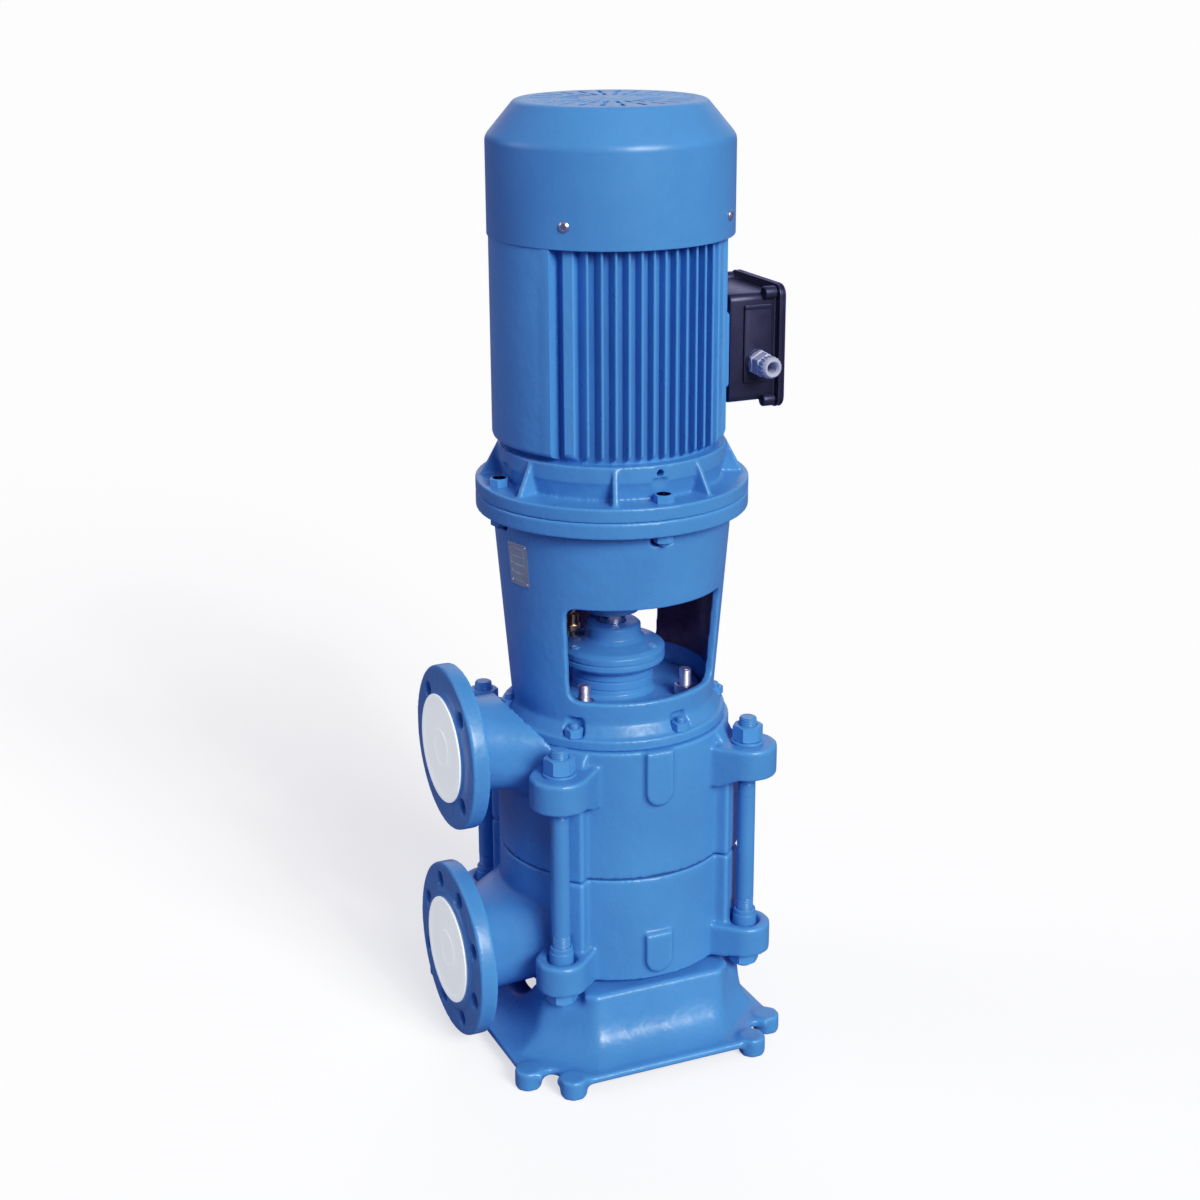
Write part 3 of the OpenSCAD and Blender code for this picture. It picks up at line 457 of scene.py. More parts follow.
def joined(parts):
    """One mesh from (bmesh, list of matrices) pairs; each bmesh is used up."""
    whole = bmesh.new()
    for part, places in parts:
        mesh = bpy.data.meshes.new("part")
        part.to_mesh(mesh)
        part.free()
        for place in places:
            copy = mesh.copy()
            copy.transform(place)
            whole.from_mesh(copy)
            bpy.data.meshes.remove(copy)
        bpy.data.meshes.remove(mesh)
    return whole


def around(count, radius, start=0.0, height=0.0):
    """Places at equal angles round the shaft axis; angle 0 is -Y, growing towards +X."""
    return [Matrix.Rotation(math.radians(start + 360 * i / count), 4, "Z")
        @ at(0.0, -radius, height) for i in range(count)]


def new_mesh(name, bm, sharp=40.0):
    """Mesh in metres from a bmesh in millimetres, smooth but for edges over an angle."""
    mesh = bpy.data.meshes.new(name)
    bmesh.ops.scale(bm, vec=(MM, MM, MM), verts=bm.verts)
    bm.to_mesh(mesh)
    bm.free()
    mesh.shade_smooth()
    mesh.set_sharp_from_angle(angle=math.radians(sharp))
    return mesh


def show(name, mesh, nodes, finish):
    """Adds a piece that stands for CAD nodes and rides on their body."""
    piece = bpy.data.objects.new(name, mesh)
    bpy.context.scene.collection.objects.link(piece)
    mesh.materials.clear()
    mesh.materials.append(FINISHES[finish])
    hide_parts(*nodes)
    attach(piece, BODY_OF[nodes[0]])
    return piece


def put(name, bm, nodes, finish, sharp=40.0):
    """Shows a bmesh as a piece."""
    return show(name, new_mesh(name, bm, sharp), nodes, finish)


def settled(piece):
    """Applies the modifiers of a piece to its mesh."""
    graph = bpy.context.evaluated_depsgraph_get()
    mesh = bpy.data.meshes.new_from_object(piece.evaluated_get(graph))
    piece.modifiers.clear()
    piece.data = mesh
    return mesh


def casting(name, node, voxel, passes, finish="blue_casting"):
    """A CAD node with the soft edges and filled corners of a painted casting."""
    piece = show(name, frame["nodes"][node].data.copy(), [node], finish)
    skin = piece.modifiers.new("skin", "REMESH")
    skin.mode = "VOXEL"
    skin.voxel_size = voxel * MM
    skin.use_smooth_shade = True
    soften = piece.modifiers.new("soften", "SMOOTH")
    soften.factor = 0.5
    soften.iterations = passes
    settled(piece)
    return piece


def bevelled(name, node, width, finish):
    """A CAD node with its edges broken."""
    mesh = frame["nodes"][node].data.copy()
    bm = bmesh.new()
    bm.from_mesh(mesh)
    bmesh.ops.remove_doubles(bm, verts=bm.verts, dist=0.00001)
    bmesh.ops.dissolve_limit(bm, angle_limit=math.radians(1.0), verts=bm.verts, edges=bm.edges)
    bm.to_mesh(mesh)
    bm.free()
    piece = show(name, mesh, [node], finish)
    soft = piece.modifiers.new("edge", "BEVEL")
    soft.width = width * MM
    soft.segments = 2
    soft.limit_method = "ANGLE"
    soft.angle_limit = math.radians(40)
    mesh.shade_smooth()
    even = piece.modifiers.new("even", "WEIGHTED_NORMAL")
    even.keep_sharp = True
    settled(piece)
    return piece


# ------------------------------------------------------------- pump castings

def soften_between(piece, low, high, passes):
    """Rounds the shape of a piece between two heights."""
    band = piece.vertex_groups.new(name="band")
    inside = [v.index for v in piece.data.vertices if low * MM < v.co.z < high * MM]
    band.add(inside, 1.0, "REPLACE")
    soften = piece.modifiers.new("soften", "SMOOTH")
    soften.factor = 0.5
    soften.iterations = passes
    soften.vertex_group = band.name
    settled(piece)


soften_between(casting("base_casting", "base_pedestal", 2.4, 9), 28.0, 82.0, 60)
casting("suction_casing_skin", "suction_casing", 2.2, 6)
casting("discharge_casing_skin", "discharge_casing", 2.2, 6)
casting("lantern_skin", "lantern", 1.8, 6, "blue_lantern")
casting("motor_shield_skin", "motor_flange_shield", 1.6, 5)
casting("vent_cock", "vent_valve", 0.7, 4, "bronze")


def seal_housing():
    """Turned housing with a round flange and a grooved neck."""
    low, high = low_high("seal_housing")
    bore, seat, flange, neck = 18.0, 49.5, 100.0, 46.0
    flange_low, flange_top = 370.0, 400.0
    groove = 1.4
    profile = [(bore, low.z, 0), (seat, low.z, 1.0), (seat, flange_low, 0), (flange, flange_low, 0.6),
        (flange, flange_top, 3.0), (neck + 4, flange_top, 3.0), (neck, flange_top + 4, 2.0)]
    for z in (flange_top + 9, flange_top + 19):
        profile += [(neck, z - 1.2, 0.4), (neck - groove, z - 0.5, 0.3), (neck - groove, z + 0.5, 0.3),
            (neck, z + 1.2, 0.4)]
    profile += [(neck, high.z, 1.0), (bore, high.z, 0)]
    body = lathe(rounded(profile, 4), 128)
    put("seal_housing_body", body, ["seal_housing"], "blue_casting", sharp=45)


def bearing_cover():
    """Turned disc with a line round its rim, a hub and three small screws."""
    low, high = low_high("bearing_cover")
    bore, disc, disc_top, hub = 16.0, 59.0, 454.0, 32.0
    line, line_low, line_high = disc - 1.3, low.z + 9, low.z + 11.6
    profile = [(bore, low.z, 0), (disc - 4, low.z, 1.5), (disc, low.z + 4, 1.5), (disc, line_low, 0.4),
        (line, line_low + 0.6, 0.3), (line, line_high - 0.6, 0.3), (disc, line_high, 0.4),
        (disc, disc_top - 4, 2.0), (disc - 5, disc_top, 2.5), (hub + 5, disc_top + 5, 3.0),
        (hub, disc_top + 9, 2.5), (hub, high.z - 3, 1.5), (hub - 3, high.z, 1.5), (bore, high.z, 0)]
    body = lathe(rounded(profile, 4), 128)
    put("bearing_cover_body", body, ["bearing_cover"], "blue_casting", sharp=45)
    cap = nut(10.0, 4.0, 0.0, low_chamfer=False)
    caps = joined([(cap, around(3, disc - 10, 40, disc_top - 1.5))])
    put("bearing_cover_screws", caps, ["bearing_cover"], "blue_fastener")


# ------------------------------------------------------------------ tie rods

def tie_rods():
    """Four rods with threaded ends, their nuts, sunk collars and washers."""
    rod_low, rod_high = low_high("tie_rods")
    washer_low, washer_high = low_high("tie_rod_washers")
    nut_low, nut_high = low_high("tie_rod_nuts_upper")
    lower_low, lower_high = low_high("tie_rod_nuts_lower")
    radius, pitch, across = 10.0, 2.0, 30.0
    middle = rod_high.x - radius
    places = [at(sx * middle, sy * middle, 0.0) for sx in SIDES for sy in SIDES]
    rod = threaded(radius, rod_low.z, rod_high.z, pitch, (lower_high.z + 14, washer_low.z - 50))
    put("tie_rod_set", joined([(rod, places)]), ["tie_rods"], "blue_fastener", sharp=60)

    turned = Matrix.Rotation(math.radians(15), 4, "Z")
    for name, node, z in (
            ("tie_nut_set_upper", "tie_rod_nuts_upper", nut_low.z),
            ("tie_nut_set_lower", "tie_rod_nuts_lower", lower_low.z)):
        hexagon = nut(across, nut_high.z - nut_low.z, radius)
        spots = [place @ at(0, 0, z) @ turned for place in places]
        put(name, joined([(hexagon, spots)]), [node], "blue_fastener")

    collar, collar_low, step = 13.5, lower_high.z - 22.0, lower_high.z - 7.0
    shape = rounded([(radius, collar_low, 0), (collar, collar_low, 0.5), (collar, step, 0.6),
        (collar - 1, step + 1, 0.4), (collar - 1, lower_high.z, 2.0), (radius, lower_high.z, 0.4)])
    collars = joined([(lathe(shape, 64), places)])
    put("tie_collar_set", collars, ["tie_rod_nuts_lower"], "blue_fastener")

    rim = 18.5
    ring = rounded([(radius + 0.5, washer_low.z, 0.4), (rim, washer_low.z, 0.4),
        (rim, washer_high.z, 1.0), (radius + 0.5, washer_high.z, 0.4)])
    washers = joined([(lathe(ring, 64), places)])
    put("tie_washer_set", washers, ["tie_rod_washers"], "blue_fastener")


# ----------------------------------------------------------- round fasteners

# count, radius and first angle of each ring of fasteners
LANTERN_RING = (6, 118.0, 15)
SEAL_RING = (4, 87.0, 45)
FLANGE_RING = (4, 132.5, 0)


def stud_sets():
    """Studs of the lantern foot and of the seal housing."""
    for name, node, radius, pitch, ring, finish, slot in (
            ("lantern_stud_set", "lantern_studs", 5.0, 1.5, LANTERN_RING, "blue_fastener", None),
            ("seal_stud_set", "seal_studs", 7.0, 1.75, SEAL_RING, "lilac_zinc", "zinc_steel")):
        low, high = low_high(node)
        stud = threaded(radius, low.z, high.z, pitch)
        put(name, joined([(stud, around(*ring))]), [node], finish, 60)


def nut_sets():
    """Nuts of the lantern foot, of the seal housing and of the motor flange."""
    for name, node, across, bore, ring, finish in (
            ("lantern_nut_set", "lantern_nuts", 18.0, 5.0, LANTERN_RING, "blue_fastener"),
            ("seal_nut_set", "seal_stud_nuts", 22.0, 7.0, SEAL_RING, "zinc_steel"),
            ("flange_nut_set", "flange_nuts", 19.0, 6.0, FLANGE_RING, "blue_fastener")):
        low, high = low_high(node)
        hexagon = nut(across, high.z - low.z, bore)
        put(name, joined([(hexagon, around(*ring, low.z))]), [node], finish)


def flange_bolts():
    """Hexagon bolts of the motor flange, with a domed washer face under the head."""
    low, high = low_high("flange_bolts")
    radius, pitch, across, head_h = 6.0, 1.75, 19.0, 9.0
    head = high.z - head_h
    shank = threaded(radius, low.z, head, pitch, (low.z + 30, head))
    cap = nut(across, head_h, 0.0, low_chamfer=False)
    dome_low = head_h - 1.5
    dome = lathe(rounded([(0, dome_low, 0), (8.6, dome_low, 0.4), (8.0, head_h, 0.5), (0, head_h, 0)]), 48)
    places = around(*FLANGE_RING)
    heads = around(*FLANGE_RING, head)
    whole = joined([(shank, places), (cap, heads), (dome, heads)])
    put("flange_bolt_set", whole, ["flange_bolts"], "blue_fastener")


# --------------------------------------------------------------- port covers

def port_cover(name, node, bore):
    """White moulded cover: a dished disc with a bead round its rim, and a hollow spigot."""
    low, high = low_high(node)
    height = (low.z + high.z) / 2
    rim = (high.z - low.z) / 2
    face, dish, wall = 2.0, 1.1, 3.0
    end = face - (high.x - low.x)
    profile = rounded([
        (0.0, face - 0.6, 0), (rim * 0.30, face - 0.6, 0.4), (rim * 0.32, face - 0.1, 0.4),
        (rim * 0.36, face - 0.1, 0.4), (rim * 0.38, dish, 0.4), (rim * 0.86, dish, 0.6),
        (rim * 0.91, face, 0.8), (rim, face, 0.9), (rim, 0.0, 0.5), (bore, 0.0, 0.4),
        (bore - 0.6, end, 0.6), (bore - wall, end, 0.4), (bore - wall, -1.2, 0.8),
        (0.0, -1.2, 0)], 4)
    cover = moved(lathe(profile, 128), at(low.x + face, 0.0, height) @ TO_PORTS)
    put(name, cover, [node], "cover_white", sharp=50)


# -------------------------------------------------------------- motor frame

def on_circle(radius, x):
    """Y of the front of a circle at some x."""
    return -math.sqrt(radius * radius - x * x)


def frame_outline(grow):
    """Section of the finned motor frame, counter-clockwise from the front left; grow scales the fins."""
    core = 112.0
    tip = core + 12.0 * grow
    fins, pitch, root, crown = 12, 13.0, 2.6, 1.5
    outline = []

    def turned(points, angle):
        c, s = math.cos(math.radians(angle)), math.sin(math.radians(angle))
        return [(x * c - y * s, x * s + y * c) for x, y in points]

    def fin(x):
        top = on_circle(tip, x)
        points = [(x - root, on_circle(core, x - root))]
        steps = 6
        for step in range(steps + 1):
            angle = math.pi * step / steps
            points.append((x - crown * math.cos(angle), top + crown * (1 - math.sin(angle)) * grow))
        return points + [(x + root, on_circle(core, x + root))]

    def quadrant(angle):
        points = []
        for i in range(fins):
            points += fin((i - (fins - 1) / 2) * pitch)
        return turned(points, angle)

    def corner_bar(angle):
        """Flat bar between two sets of fins."""
        half = 6.5
        top = on_circle(tip, half)
        base = on_circle(core, half)
        bend = 1.5 * grow
        return turned([(-half, base), (-half, top + bend), (-half + bend, top), (half - bend, top),
            (half, top + bend), (half, base)], angle)

    def panel(angle):
        """Smooth sector that lies flush under the cowl, with a rib along each edge."""
        outer = core + 18.4 * grow
        rib = core + 19.5 * grow
        steps, half = 30, 37.0
        points = []
        for step in range(steps + 1):
            a = math.radians(-half + 2 * half * step / steps)
            radius = rib if step in (0, 1, steps - 1, steps) else outer
            points.append((radius * math.sin(a), -radius * math.cos(a)))
        a = math.radians(half)
        foot = (core * math.sin(a), -core * math.cos(a))
        return turned([(-foot[0], foot[1])] + points + [foot], angle)

    for start in (0, 90, 180):
        outline += quadrant(start)
        outline += corner_bar(start + 45)
    outline += panel(270)
    outline += corner_bar(315)
    return outline


def motor_frame():
    """Finned frame with tapered fins, an open bore, and room in the fins for the terminal box."""
    low, high = low_high("motor_frame")
    bore = 105.0
    levels = [(low.z, 0.02), (low.z + 3, 0.10), (low.z + 8, 0.82), (low.z + 10, 0.95),
        (low.z + 13, 1.0), (high.z, 1.0)]
    bm = bmesh.new()
    rings = []
    for z, grow in levels:
        rings.append([bm.verts.new((x, y, z)) for x, y in frame_outline(grow)])
    inner = []
    for z in (low.z, high.z):
        ring = []
        for x, y in frame_outline(1.0):
            reach = math.hypot(x, y)
            ring.append(bm.verts.new((x * bore / reach, y * bore / reach, z)))
        inner.append(ring)
    strips = rings + [inner[1], inner[0], rings[0]]
    for here, there in zip(strips, strips[1:]):
        for k in range(len(here)):
            j = (k + 1) % len(here)
            bm.faces.new((here[k], here[j], there[j], there[k]))
    bmesh.ops.recalc_face_normals(bm, faces=bm.faces)
    piece = put("motor_frame_body", bm, ["motor_frame"], "blue_casting", sharp=50)
    box_low, box_high = low_high("terminal_box_body")
    height = (box_low.z + box_high.z) / 2
    room = slab(box_outline((box_high.z - box_low.z) / 2 + 3, 53.0, 3.0), 0.0, 40.0, 0.5)
    carve(piece, [moved(room, at(box_low.x - 0.1, 0.0, height) @ TO_X)])
    seat_x, seat_z = 97.9, 784.5
    seat = slab(box_outline(41.0, 49.0, 4.0), 0.0, 20.0, 1.5)
    seat = moved(seat, at(seat_x, 0.0, seat_z) @ TO_X)
    put("terminal_seat", seat, ["motor_frame"], "blue_casting")


def carve(piece, cutters):
    """Cuts closed bmeshes, in millimetres, out of a piece."""
    for bm in cutters:
        bmesh.ops.scale(bm, vec=(MM, MM, MM), verts=bm.verts)
        tool_mesh = bpy.data.meshes.new("tool")
        bm.to_mesh(tool_mesh)
        bm.free()
        tool = bpy.data.objects.new("tool", tool_mesh)
        bpy.context.scene.collection.objects.link(tool)
        cut = piece.modifiers.new("cut", "BOOLEAN")
        cut.operation = "DIFFERENCE"
        cut.solver = "EXACT"
        cut.object = tool
        mesh = settled(piece)
        bpy.data.objects.remove(tool)
        mesh.shade_smooth()
        mesh.set_sharp_from_angle(angle=math.radians(40))


# ------------------------------------------------------------------ fan cowl

def fan_cowl():
    """Deep-drawn cowl with a rolled rim, a soft shoulder and a slotted top."""
    low, high = low_high("fan_cowl")
    outer, flat, wall = 132.0, 101.0, 3.0
    shoulder = 1015.0
    profile = rounded([
        (outer - wall, low.z, 1.2), (outer, low.z, 1.2), (outer, shoulder, 14.0), (flat, high.z, 9.0),
        (0.0, high.z, 0), (0.0, high.z - wall, 0), (flat - 2, high.z - wall, 6.0),
        (outer - wall, shoulder - 2, 11.0)], 8)
    piece = put("fan_cowl_shell", lathe(profile, 144), ["fan_cowl"], "blue_sheet", sharp=50)
    slots = []
    slot_low, slot_high = high.z - wall - 2, high.z + 2
    for inner_end, outer_end in ((34.0, 56.0), (62.0, 88.0)):
        outline = box_outline(2.5, (outer_end - inner_end) / 2, 2.49, 4)
        slots.append((slab(outline, slot_low, slot_high, 0.2), around(24, (inner_end + outer_end) / 2)))
    carve(piece, [joined(slots)])
    soft = piece.modifiers.new("edge", "BEVEL")
    soft.width = 0.6 * MM
    soft.segments = 2
    soft.limit_method = "ANGLE"
    soft.angle_limit = math.radians(50)
    mesh = settled(piece)
    mesh.shade_smooth()
    mesh.set_sharp_from_angle(angle=math.radians(50))


def cut_cross(piece, places, low, high):
    """Cuts a cross recess at each place, between two heights along the screw."""
    for half_x, half_y in ((3.0, 0.5), (0.5, 3.0)):
        bar = slab(box_outline(half_x, half_y, 0.2, 2), low, high, 0.1)
        carve(piece, [joined([(bar, places)])])


def cowl_screws():
    """Pan-head screws with a cross recess."""
    cowl_radius, height = 132.0, 937.0
    head = lathe(rounded([(0, -3.0, 0), (3.6, -2.9, 1.0), (5.9, -1.2, 1.2), (6.0, 0.0, 0.3), (3.0, 0.0, 0),
        (3.0, 14.0, 0.8), (0, 14.0, 0)]), 48)
    places = [place @ TO_BACK for place in around(4, cowl_radius, 45, height)]
    piece = put("cowl_screw_set", joined([(head, places)]), ["cowl_screws"], "zinc_steel")
    cut_cross(piece, places, -4.0, -1.4)


# -------------------------------------------------------------- terminal box

def block(half_z, half_y, corner, start, end, edge, height):
    """Plate that faces +X between two distances from the axis, centred on a height."""
    plate = slab(box_outline(half_z, half_y, corner), 0.0, end - start, edge)
    return moved(plate, at(start, 0.0, height) @ TO_X)


# the axis of the cable gland
GLAND_X = 151.0
GLAND_Z = 769.0


def terminal_box():
    """Moulded box with a gland panel in front, a blind panel behind and lugs for the lid screws."""
    low, high = low_high("terminal_box_body")
    lid_low, lid_high = low_high("terminal_box_lid")
    middle = (lid_low.z + lid_high.z) / 2
    half_y, half_z, wall = 50.0, 59.5, 4.0
    panel_z, ridge_z = 789.0, 830.0
    lug_h, lug_in = 14.0, 9.0
    lug_y, lug_z = lid_high.y - lug_in, (lid_high.z - lid_low.z) / 2 - lug_in
    shell = block(half_z, half_y, 8.0, low.x, high.x, 1.2, middle)
    piece = put("terminal_box_shell", shell, ["terminal_box_body"], "black_plastic")
    room = block(half_z - wall, half_y - wall, 5.0, low.x + wall, high.x + 20, 0.5, middle)
    bore = lathe([(0, 0), (9, 0), (9, 20), (0, 20)], 48)
    carve(piece, [room, moved(bore, at(GLAND_X, -half_y + 10, GLAND_Z) @ TO_FRONT)])

    lug = lathe(rounded([(0, 0, 0), (7.0, 0, 2.0), (7.0, lug_h, 0.5), (0, lug_h, 0)]), 48)
    lugs = [at(high.x - lug_h, sy * lug_y, middle + sz * lug_z) @ TO_X for sy in SIDES for sz in SIDES]
    panel = slab(box_outline(16.5, 42.0, 3.0), -1.0, 2.6, 0.8)
    ridge = slab(box_outline(16.5, 2.6, 2.0), 0.0, 3.9, 1.0)
    seat = lathe(rounded([(9.5, 0, 0), (16.0, 0, 0), (15.5, 3.9, 0.8), (9.5, 3.9, 0)]), 64)
    blind = lathe(rounded([(0, 0, 0), (13.0, 0, 0), (12.6, 4.0, 0.8), (10.0, 4.0, 0.6), (9.6, 3.0, 0.4),
        (0, 3.0, 0)]), 64)

    def front(x, z):
        return at(x, -half_y, z) @ TO_FRONT

    def back(x, z):
        return at(x, half_y, z) @ TO_BACK

    middle_x = GLAND_X - 0.5
    trim = joined([(lug, lugs),
        (panel, [front(middle_x, panel_z), back(middle_x, panel_z)]),
        (ridge, [front(middle_x, ridge_z), back(middle_x, ridge_z)]),
        (seat, [front(GLAND_X, GLAND_Z)]),
        (blind, [back(GLAND_X, GLAND_Z)])])
    put("terminal_box_trim", trim, ["terminal_box_body"], "black_plastic")


def terminal_lid():
    """Lid with a raised middle, a line round its rim and sunk screws with a cross recess."""
    low, high = low_high("terminal_box_lid")
    middle = (low.z + high.z) / 2
    half_y, half_z = high.y, (high.z - low.z) / 2
    line_low, line_high = low.x + 3.2, low.x + 4.2
    plates = [block(half_z, half_y, 12.0, low.x, line_low, 1.0, middle),
        block(half_z - 1.2, half_y - 1.2, 11.0, low.x + 1, high.x - 3, 0.4, middle),
        block(half_z, half_y, 12.0, line_high, high.x - 1.4, 2.4, middle)]
    body = joined([(plate, [Matrix.Identity(4)]) for plate in plates])
    piece = put("terminal_lid_body", body, ["terminal_box_lid"], "black_plastic")
    raised = block(half_z - 20, half_y - 16, 8.0, high.x - 5, high.x, 1.3, middle)
    put("terminal_lid_middle", raised, ["terminal_box_lid"], "black_plastic")
    places = [at(high.x - 3.0, sy * (half_y - 9), middle + sz * (half_z - 9)) @ TO_X
        for sy in SIDES for sz in SIDES]
    for place in places:
        carve(piece, [moved(lathe([(0, 0), (5.5, 0), (5.5, 10), (0, 10)], 40), place)])
    head = lathe(rounded([(0, -12.0, 0), (2.5, -12.0, 0.5), (2.5, 0, 0), (5.0, 0, 0.3), (4.9, 1.4, 1.0),
        (3.4, 2.6, 1.0), (0, 2.8, 0)]), 48)
    screws = put("terminal_screw_set", joined([(head, places)]), ["terminal_lid_screws"], "zinc_steel")
    cut_cross(screws, places, 1.4, 4.0)


def cable_gland():
    """Plastic gland: a hexagon on the box, and a cap nut with a round mouth for the cable."""
    body_top = low_high("gland_body")[1].y
    cap_top = low_high("gland_nut")[1].y
    foot = body_top - 10.0

    def outward(y):
        return at(GLAND_X, y, GLAND_Z) @ TO_FRONT

    sleeve = lathe(rounded([(6.5, 0, 0), (9.0, 0, 0.5), (9.0, 30.0, 0.5), (6.5, 30.0, 0.5)]), 48)
    washer = lathe(rounded([(7.0, 0, 0), (12.9, 0, 0.3), (12.9, 1.6, 0.5), (7.0, 1.6, 0)]), 64)
    hexagon = nut(26.0, 6.6, 6.5)
    body = joined([(sleeve, [outward(body_top)]), (washer, [outward(foot)]),
        (hexagon, [outward(foot - 1.4)])])
    put("gland_body_piece", body, ["gland_body"], "grey_gland")
    start = outward(cap_top)
    collar = lathe(rounded([(5.6, 11.0, 0), (9.0, 11.0, 0), (11.4, 13.0, 0.8), (11.6, 22.5, 2.4),
        (9.6, 26.0, 1.0), (7.4, 26.0, 0.8), (5.6, 23.0, 0.8)]), 64)
    rib = slab(box_outline(0.5, 0.9, 0.3, 2), 13.0, 22.0, 0.3)
    ribs = [start @ place for place in around(18, 11.3)]
    cap = joined([(nut(24.0, 13.0, 9.0), [start]), (collar, [start]), (rib, ribs)])
    put("gland_nut_piece", cap, ["gland_nut"], "grey_gland")


# ----------------------------------------------------- nameplate, plugs, couplings

def nameplate():
    """Blank plate with a rivet in each corner and rows of blank dashes, bent round the lantern."""
    bevelled("nameplate_sheet", "nameplate", 0.25, "plate_label")
    low, high = low_high("nameplate")
    foot_radius, foot_z = 115.0, 396.0
    lean = math.atan2(18.0, 220.5)
    middle, half = -76.0, 7.5
    middle_z, height = (low.z + high.z) / 2, high.z - low.z

    def spot(angle, z):
        radius = foot_radius + (z - foot_z) * math.tan(lean)
        turn = Matrix.Rotation(math.radians(angle), 4, "Z")
        return turn @ at(0, -radius, z) @ Matrix.Rotation(lean, 4, "X") @ TO_FRONT

    rivet = lathe(rounded([(0, -1, 0), (1.7, -1, 0), (1.7, 0.3, 0.5), (1.0, 1.0, 0.8), (0, 1.1, 0)]), 24)
    rivets = [spot(middle + side * (half - 1.4), z) for side in SIDES for z in (low.z + 3.2, high.z - 3.2)]
    upright = slab(box_outline(0.35, height / 2 - 5.5, 0.2, 2), -0.6, 0.35, 0.15)
    uprights = [spot(middle + side * (half - 2.6), middle_z) for side in SIDES]
    dash = slab(box_outline(0.8, 0.3, 0.1, 2), -0.6, 0.35, 0.15)
    columns, rows, turn_step, edge = 15, 5, 0.7, 5.6
    row_step = (height - 2 * edge) / (rows - 1)
    dashes = [spot(middle + (column - columns // 2) * turn_step, low.z + edge + row * row_step)
        for column in range(columns) for row in range(rows)]
    trim = joined([(rivet, rivets), (upright, uprights), (dash, dashes)])
    put("nameplate_trim", trim, ["nameplate"], "zinc_steel")


def plugs():
    """Hexagon plugs with a collar, screwed into the pads at the back."""
    for node in ("drain_plug", "gauge_plug"):
        low, high = low_high(node)
        head_h, collar_h = 8.0, 2.0
        collar = lathe(rounded([(0, 0, 0), (11.0, 0, 0.3), (11.0, collar_h, 0.7), (0, collar_h, 0)]), 64)
        shank = threaded(6.0, -24.0, 0.5, 1.5)
        head = moved(nut(17.0, head_h, 0.0, low_chamfer=False), at(0, 0, collar_h))
        place = at(0.0, high.y - head_h - collar_h, (low.z + high.z) / 2) @ TO_BACK
        whole = joined([(part, [place]) for part in (collar, shank, head)])
        slot = next(part["material_slot"] for part in frame["record"]["subparts"] if part["node"] == node)
        put(node + "_piece", whole, [node], slot)


seal_housing()
bearing_cover()
terminal_box()
terminal_lid()
cable_gland()
nameplate()
plugs()
bevelled("coupling_front", "coupling_half_front", 0.9, "blue_fastener")
bevelled("coupling_rear", "coupling_half_rear", 0.9, "blue_fastener")
bevelled("coupling_screw_set", "coupling_screws", 0.4, "zinc_steel")
tie_rods()
stud_sets()
nut_sets()
flange_bolts()
port_cover("suction_port_cover", "suction_cover", 40.0)
port_cover("discharge_port_cover", "discharge_cover", 32.5)
motor_frame()
fan_cowl()
cowl_screws()


# ------------------------------------------------------- CAD pieces that stay

# what shows of the gasket between the casings is painted over
PAINTED_OVER = {"casing_gasket": "seam_enamel"}

for part in frame["record"]["subparts"]:
    cad = frame["nodes"][part["node"]]
    cad.data.materials.clear()
    cad.data.materials.append(FINISHES[PAINTED_OVER.get(part["node"], part["material_slot"])])


# ----------------------------------------------------------- floor and lights

def floor():
    """Wide pale floor, near white to the eye and duller as a reflector of light."""
    mesh = bpy.data.meshes.new("studio_floor")
    bm = bmesh.new()
    bmesh.ops.create_circle(bm, cap_ends=True, radius=40.0, segments=64)
    bm.to_mesh(mesh)
    bm.free()
    ground = bpy.data.objects.new("studio_floor", mesh)
    bpy.context.scene.collection.objects.link(ground)
    g = Graph("studio_floor")
    eye = g.add("ShaderNodeLightPath").outputs["Is Camera Ray"]
    g.colour(g.mix(eye, (0.20, 0.20, 0.20), (0.42, 0.42, 0.43)))
    g.link(eye, g.shader.inputs["Emission Strength"])
    g.set(Roughness=0.9, Specular_IOR_Level=0.0, Emission_Color=(0.64, 0.64, 0.64, 1.0))
    mesh.materials.append(g.material)


def sun(name, azimuth, elevation, power, spread):
    """Distant lamp; azimuth 0 shines from -Y and 90 from +X."""
    lamp = bpy.data.lights.new(name, "SUN")
    lamp.energy = power
    lamp.angle = math.radians(spread)
    holder = bpy.data.objects.new(name, lamp)
    a, e = math.radians(azimuth), math.radians(elevation)
    source = Vector((math.sin(a) * math.cos(e), -math.cos(a) * math.cos(e), math.sin(e)))
    holder.rotation_euler = source.to_track_quat("Z", "Y").to_euler()
    bpy.context.scene.collection.objects.link(holder)


SKY_OVERHEAD = 0.30
SKY_PANEL = (0.38, 0.86, 0.34)
SKY_PANEL_LIGHT = 0.9


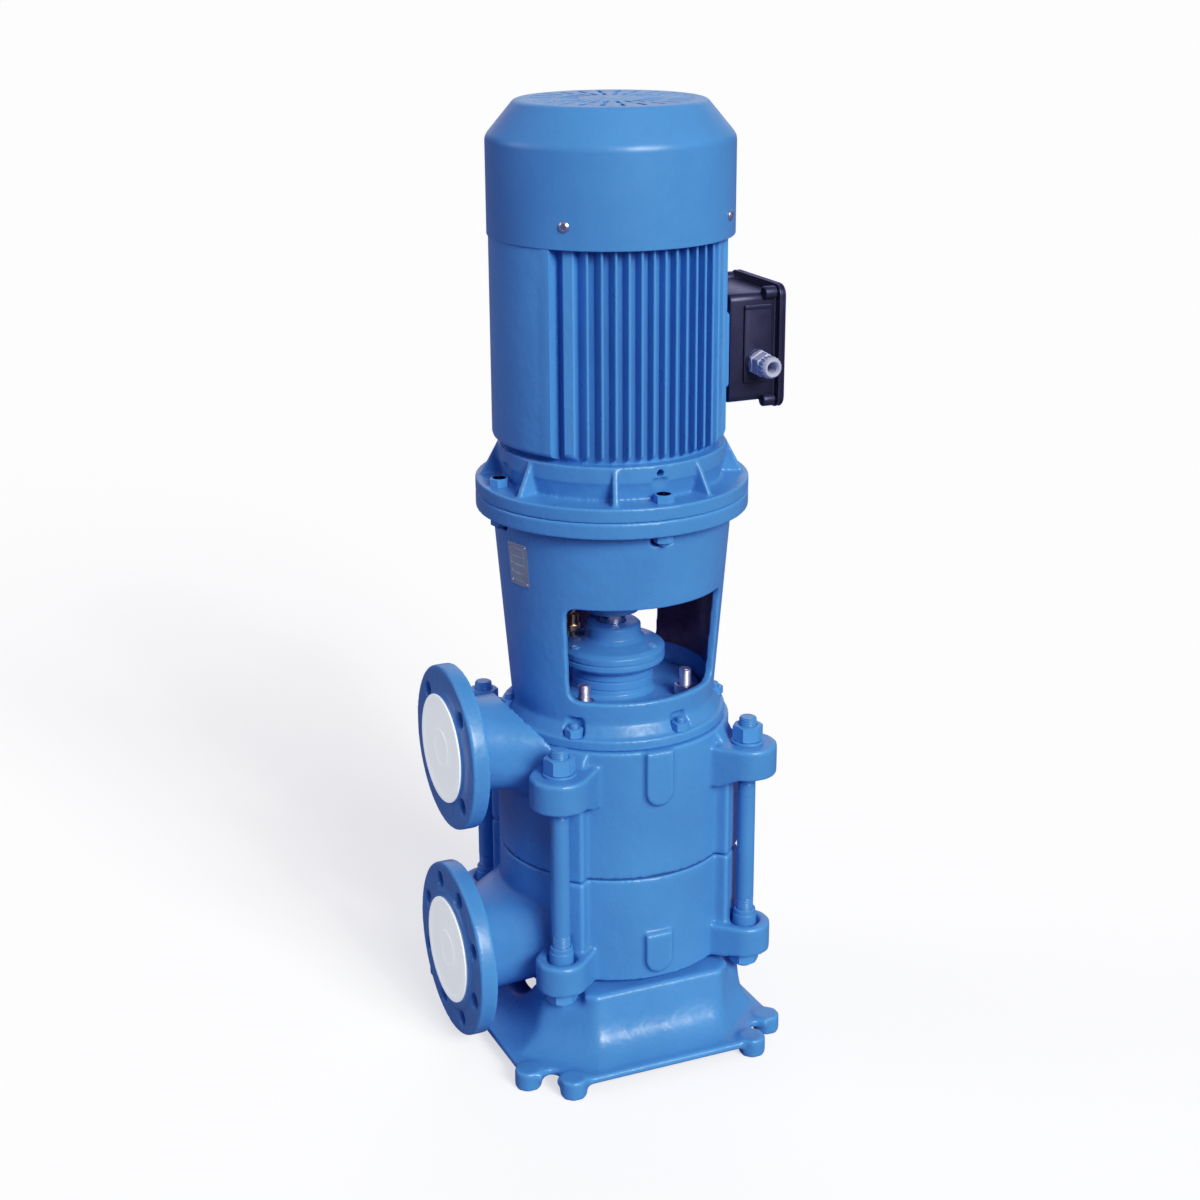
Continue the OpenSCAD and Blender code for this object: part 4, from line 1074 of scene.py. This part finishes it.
def sky():
    """Dim surround, brighter overhead, with a round panel behind and plain white for the camera."""
    world = bpy.data.worlds.new("studio")
    bpy.context.scene.world = world
    world.use_nodes = True
    tree = world.node_tree
    tree.nodes.clear()
    place = tree.nodes.new("ShaderNodeTexCoord").outputs["Generated"]

    def zone(direction, start, full, strength):
        """Light that comes from round one direction, between two cosines of the angle to it."""
        angle = tree.nodes.new("ShaderNodeVectorMath")
        angle.operation = "DOT_PRODUCT"
        angle.inputs[1].default_value = direction
        level = tree.nodes.new("ShaderNodeMapRange")
        level.inputs["From Min"].default_value = start
        level.inputs["From Max"].default_value = full
        level.inputs["To Max"].default_value = strength
        tree.links.new(place, angle.inputs[0])
        tree.links.new(angle.outputs["Value"], level.inputs["Value"])
        return level.outputs["Result"]

    total = tree.nodes.new("ShaderNodeMath")
    total.operation = "ADD"
    tree.links.new(zone((0.0, 0.0, 1.0), -0.2, 0.8, SKY_OVERHEAD), total.inputs[0])
    tree.links.new(zone(SKY_PANEL, 0.80, 0.95, SKY_PANEL_LIGHT), total.inputs[1])
    lit = tree.nodes.new("ShaderNodeBackground")
    plain = tree.nodes.new("ShaderNodeBackground")
    plain.inputs["Color"].default_value = (1.0, 1.0, 1.0, 1.0)
    ray = tree.nodes.new("ShaderNodeLightPath")
    choose = tree.nodes.new("ShaderNodeMixShader")
    out = tree.nodes.new("ShaderNodeOutputWorld")
    tree.links.new(total.outputs["Value"], lit.inputs["Strength"])
    tree.links.new(ray.outputs["Is Camera Ray"], choose.inputs["Fac"])
    tree.links.new(lit.outputs["Background"], choose.inputs[1])
    tree.links.new(plain.outputs["Background"], choose.inputs[2])
    tree.links.new(choose.outputs["Shader"], out.inputs["Surface"])


def film():
    """Plain colours with the blues of the shadows lifted, as a small camera does."""
    view = bpy.context.scene.view_settings
    view.view_transform = "Standard"
    view.use_curve_mapping = True
    blue = view.curve_mapping.curves[2]
    for level, lifted in ((0.06, 0.12), (0.24, 0.36), (0.60, 0.66)):
        blue.points.new(level, lifted)
    view.curve_mapping.update()


floor()
sky()
sun("key", 8, 29, 2.95, 30)
sun("glint", 6, 31, 0.35, 4)
sun("rim", -118, 20, 0.40, 30)
film()


# -------------------------------------------------------------------- camera

def camera():
    """View from the front left and a little above."""
    data = bpy.data.cameras.new("view")
    data.lens = 63.44
    data.sensor_width = 36.0
    holder = bpy.data.objects.new("view", data)
    bpy.context.scene.collection.objects.link(holder)
    place = at(-0.9192, -2.0521, 1.2563)
    heading, pitch, roll = (math.radians(angle) for angle in (23.78, 18.55, -0.31))
    level = math.cos(pitch)
    forward = Vector((math.sin(heading) * level, math.cos(heading) * level, -math.sin(pitch)))
    look = forward.to_track_quat("-Z", "Y").to_matrix().to_4x4()
    holder.matrix_world = place @ look @ Matrix.Rotation(roll, 4, "Z")
    bpy.context.scene.camera = holder


camera()
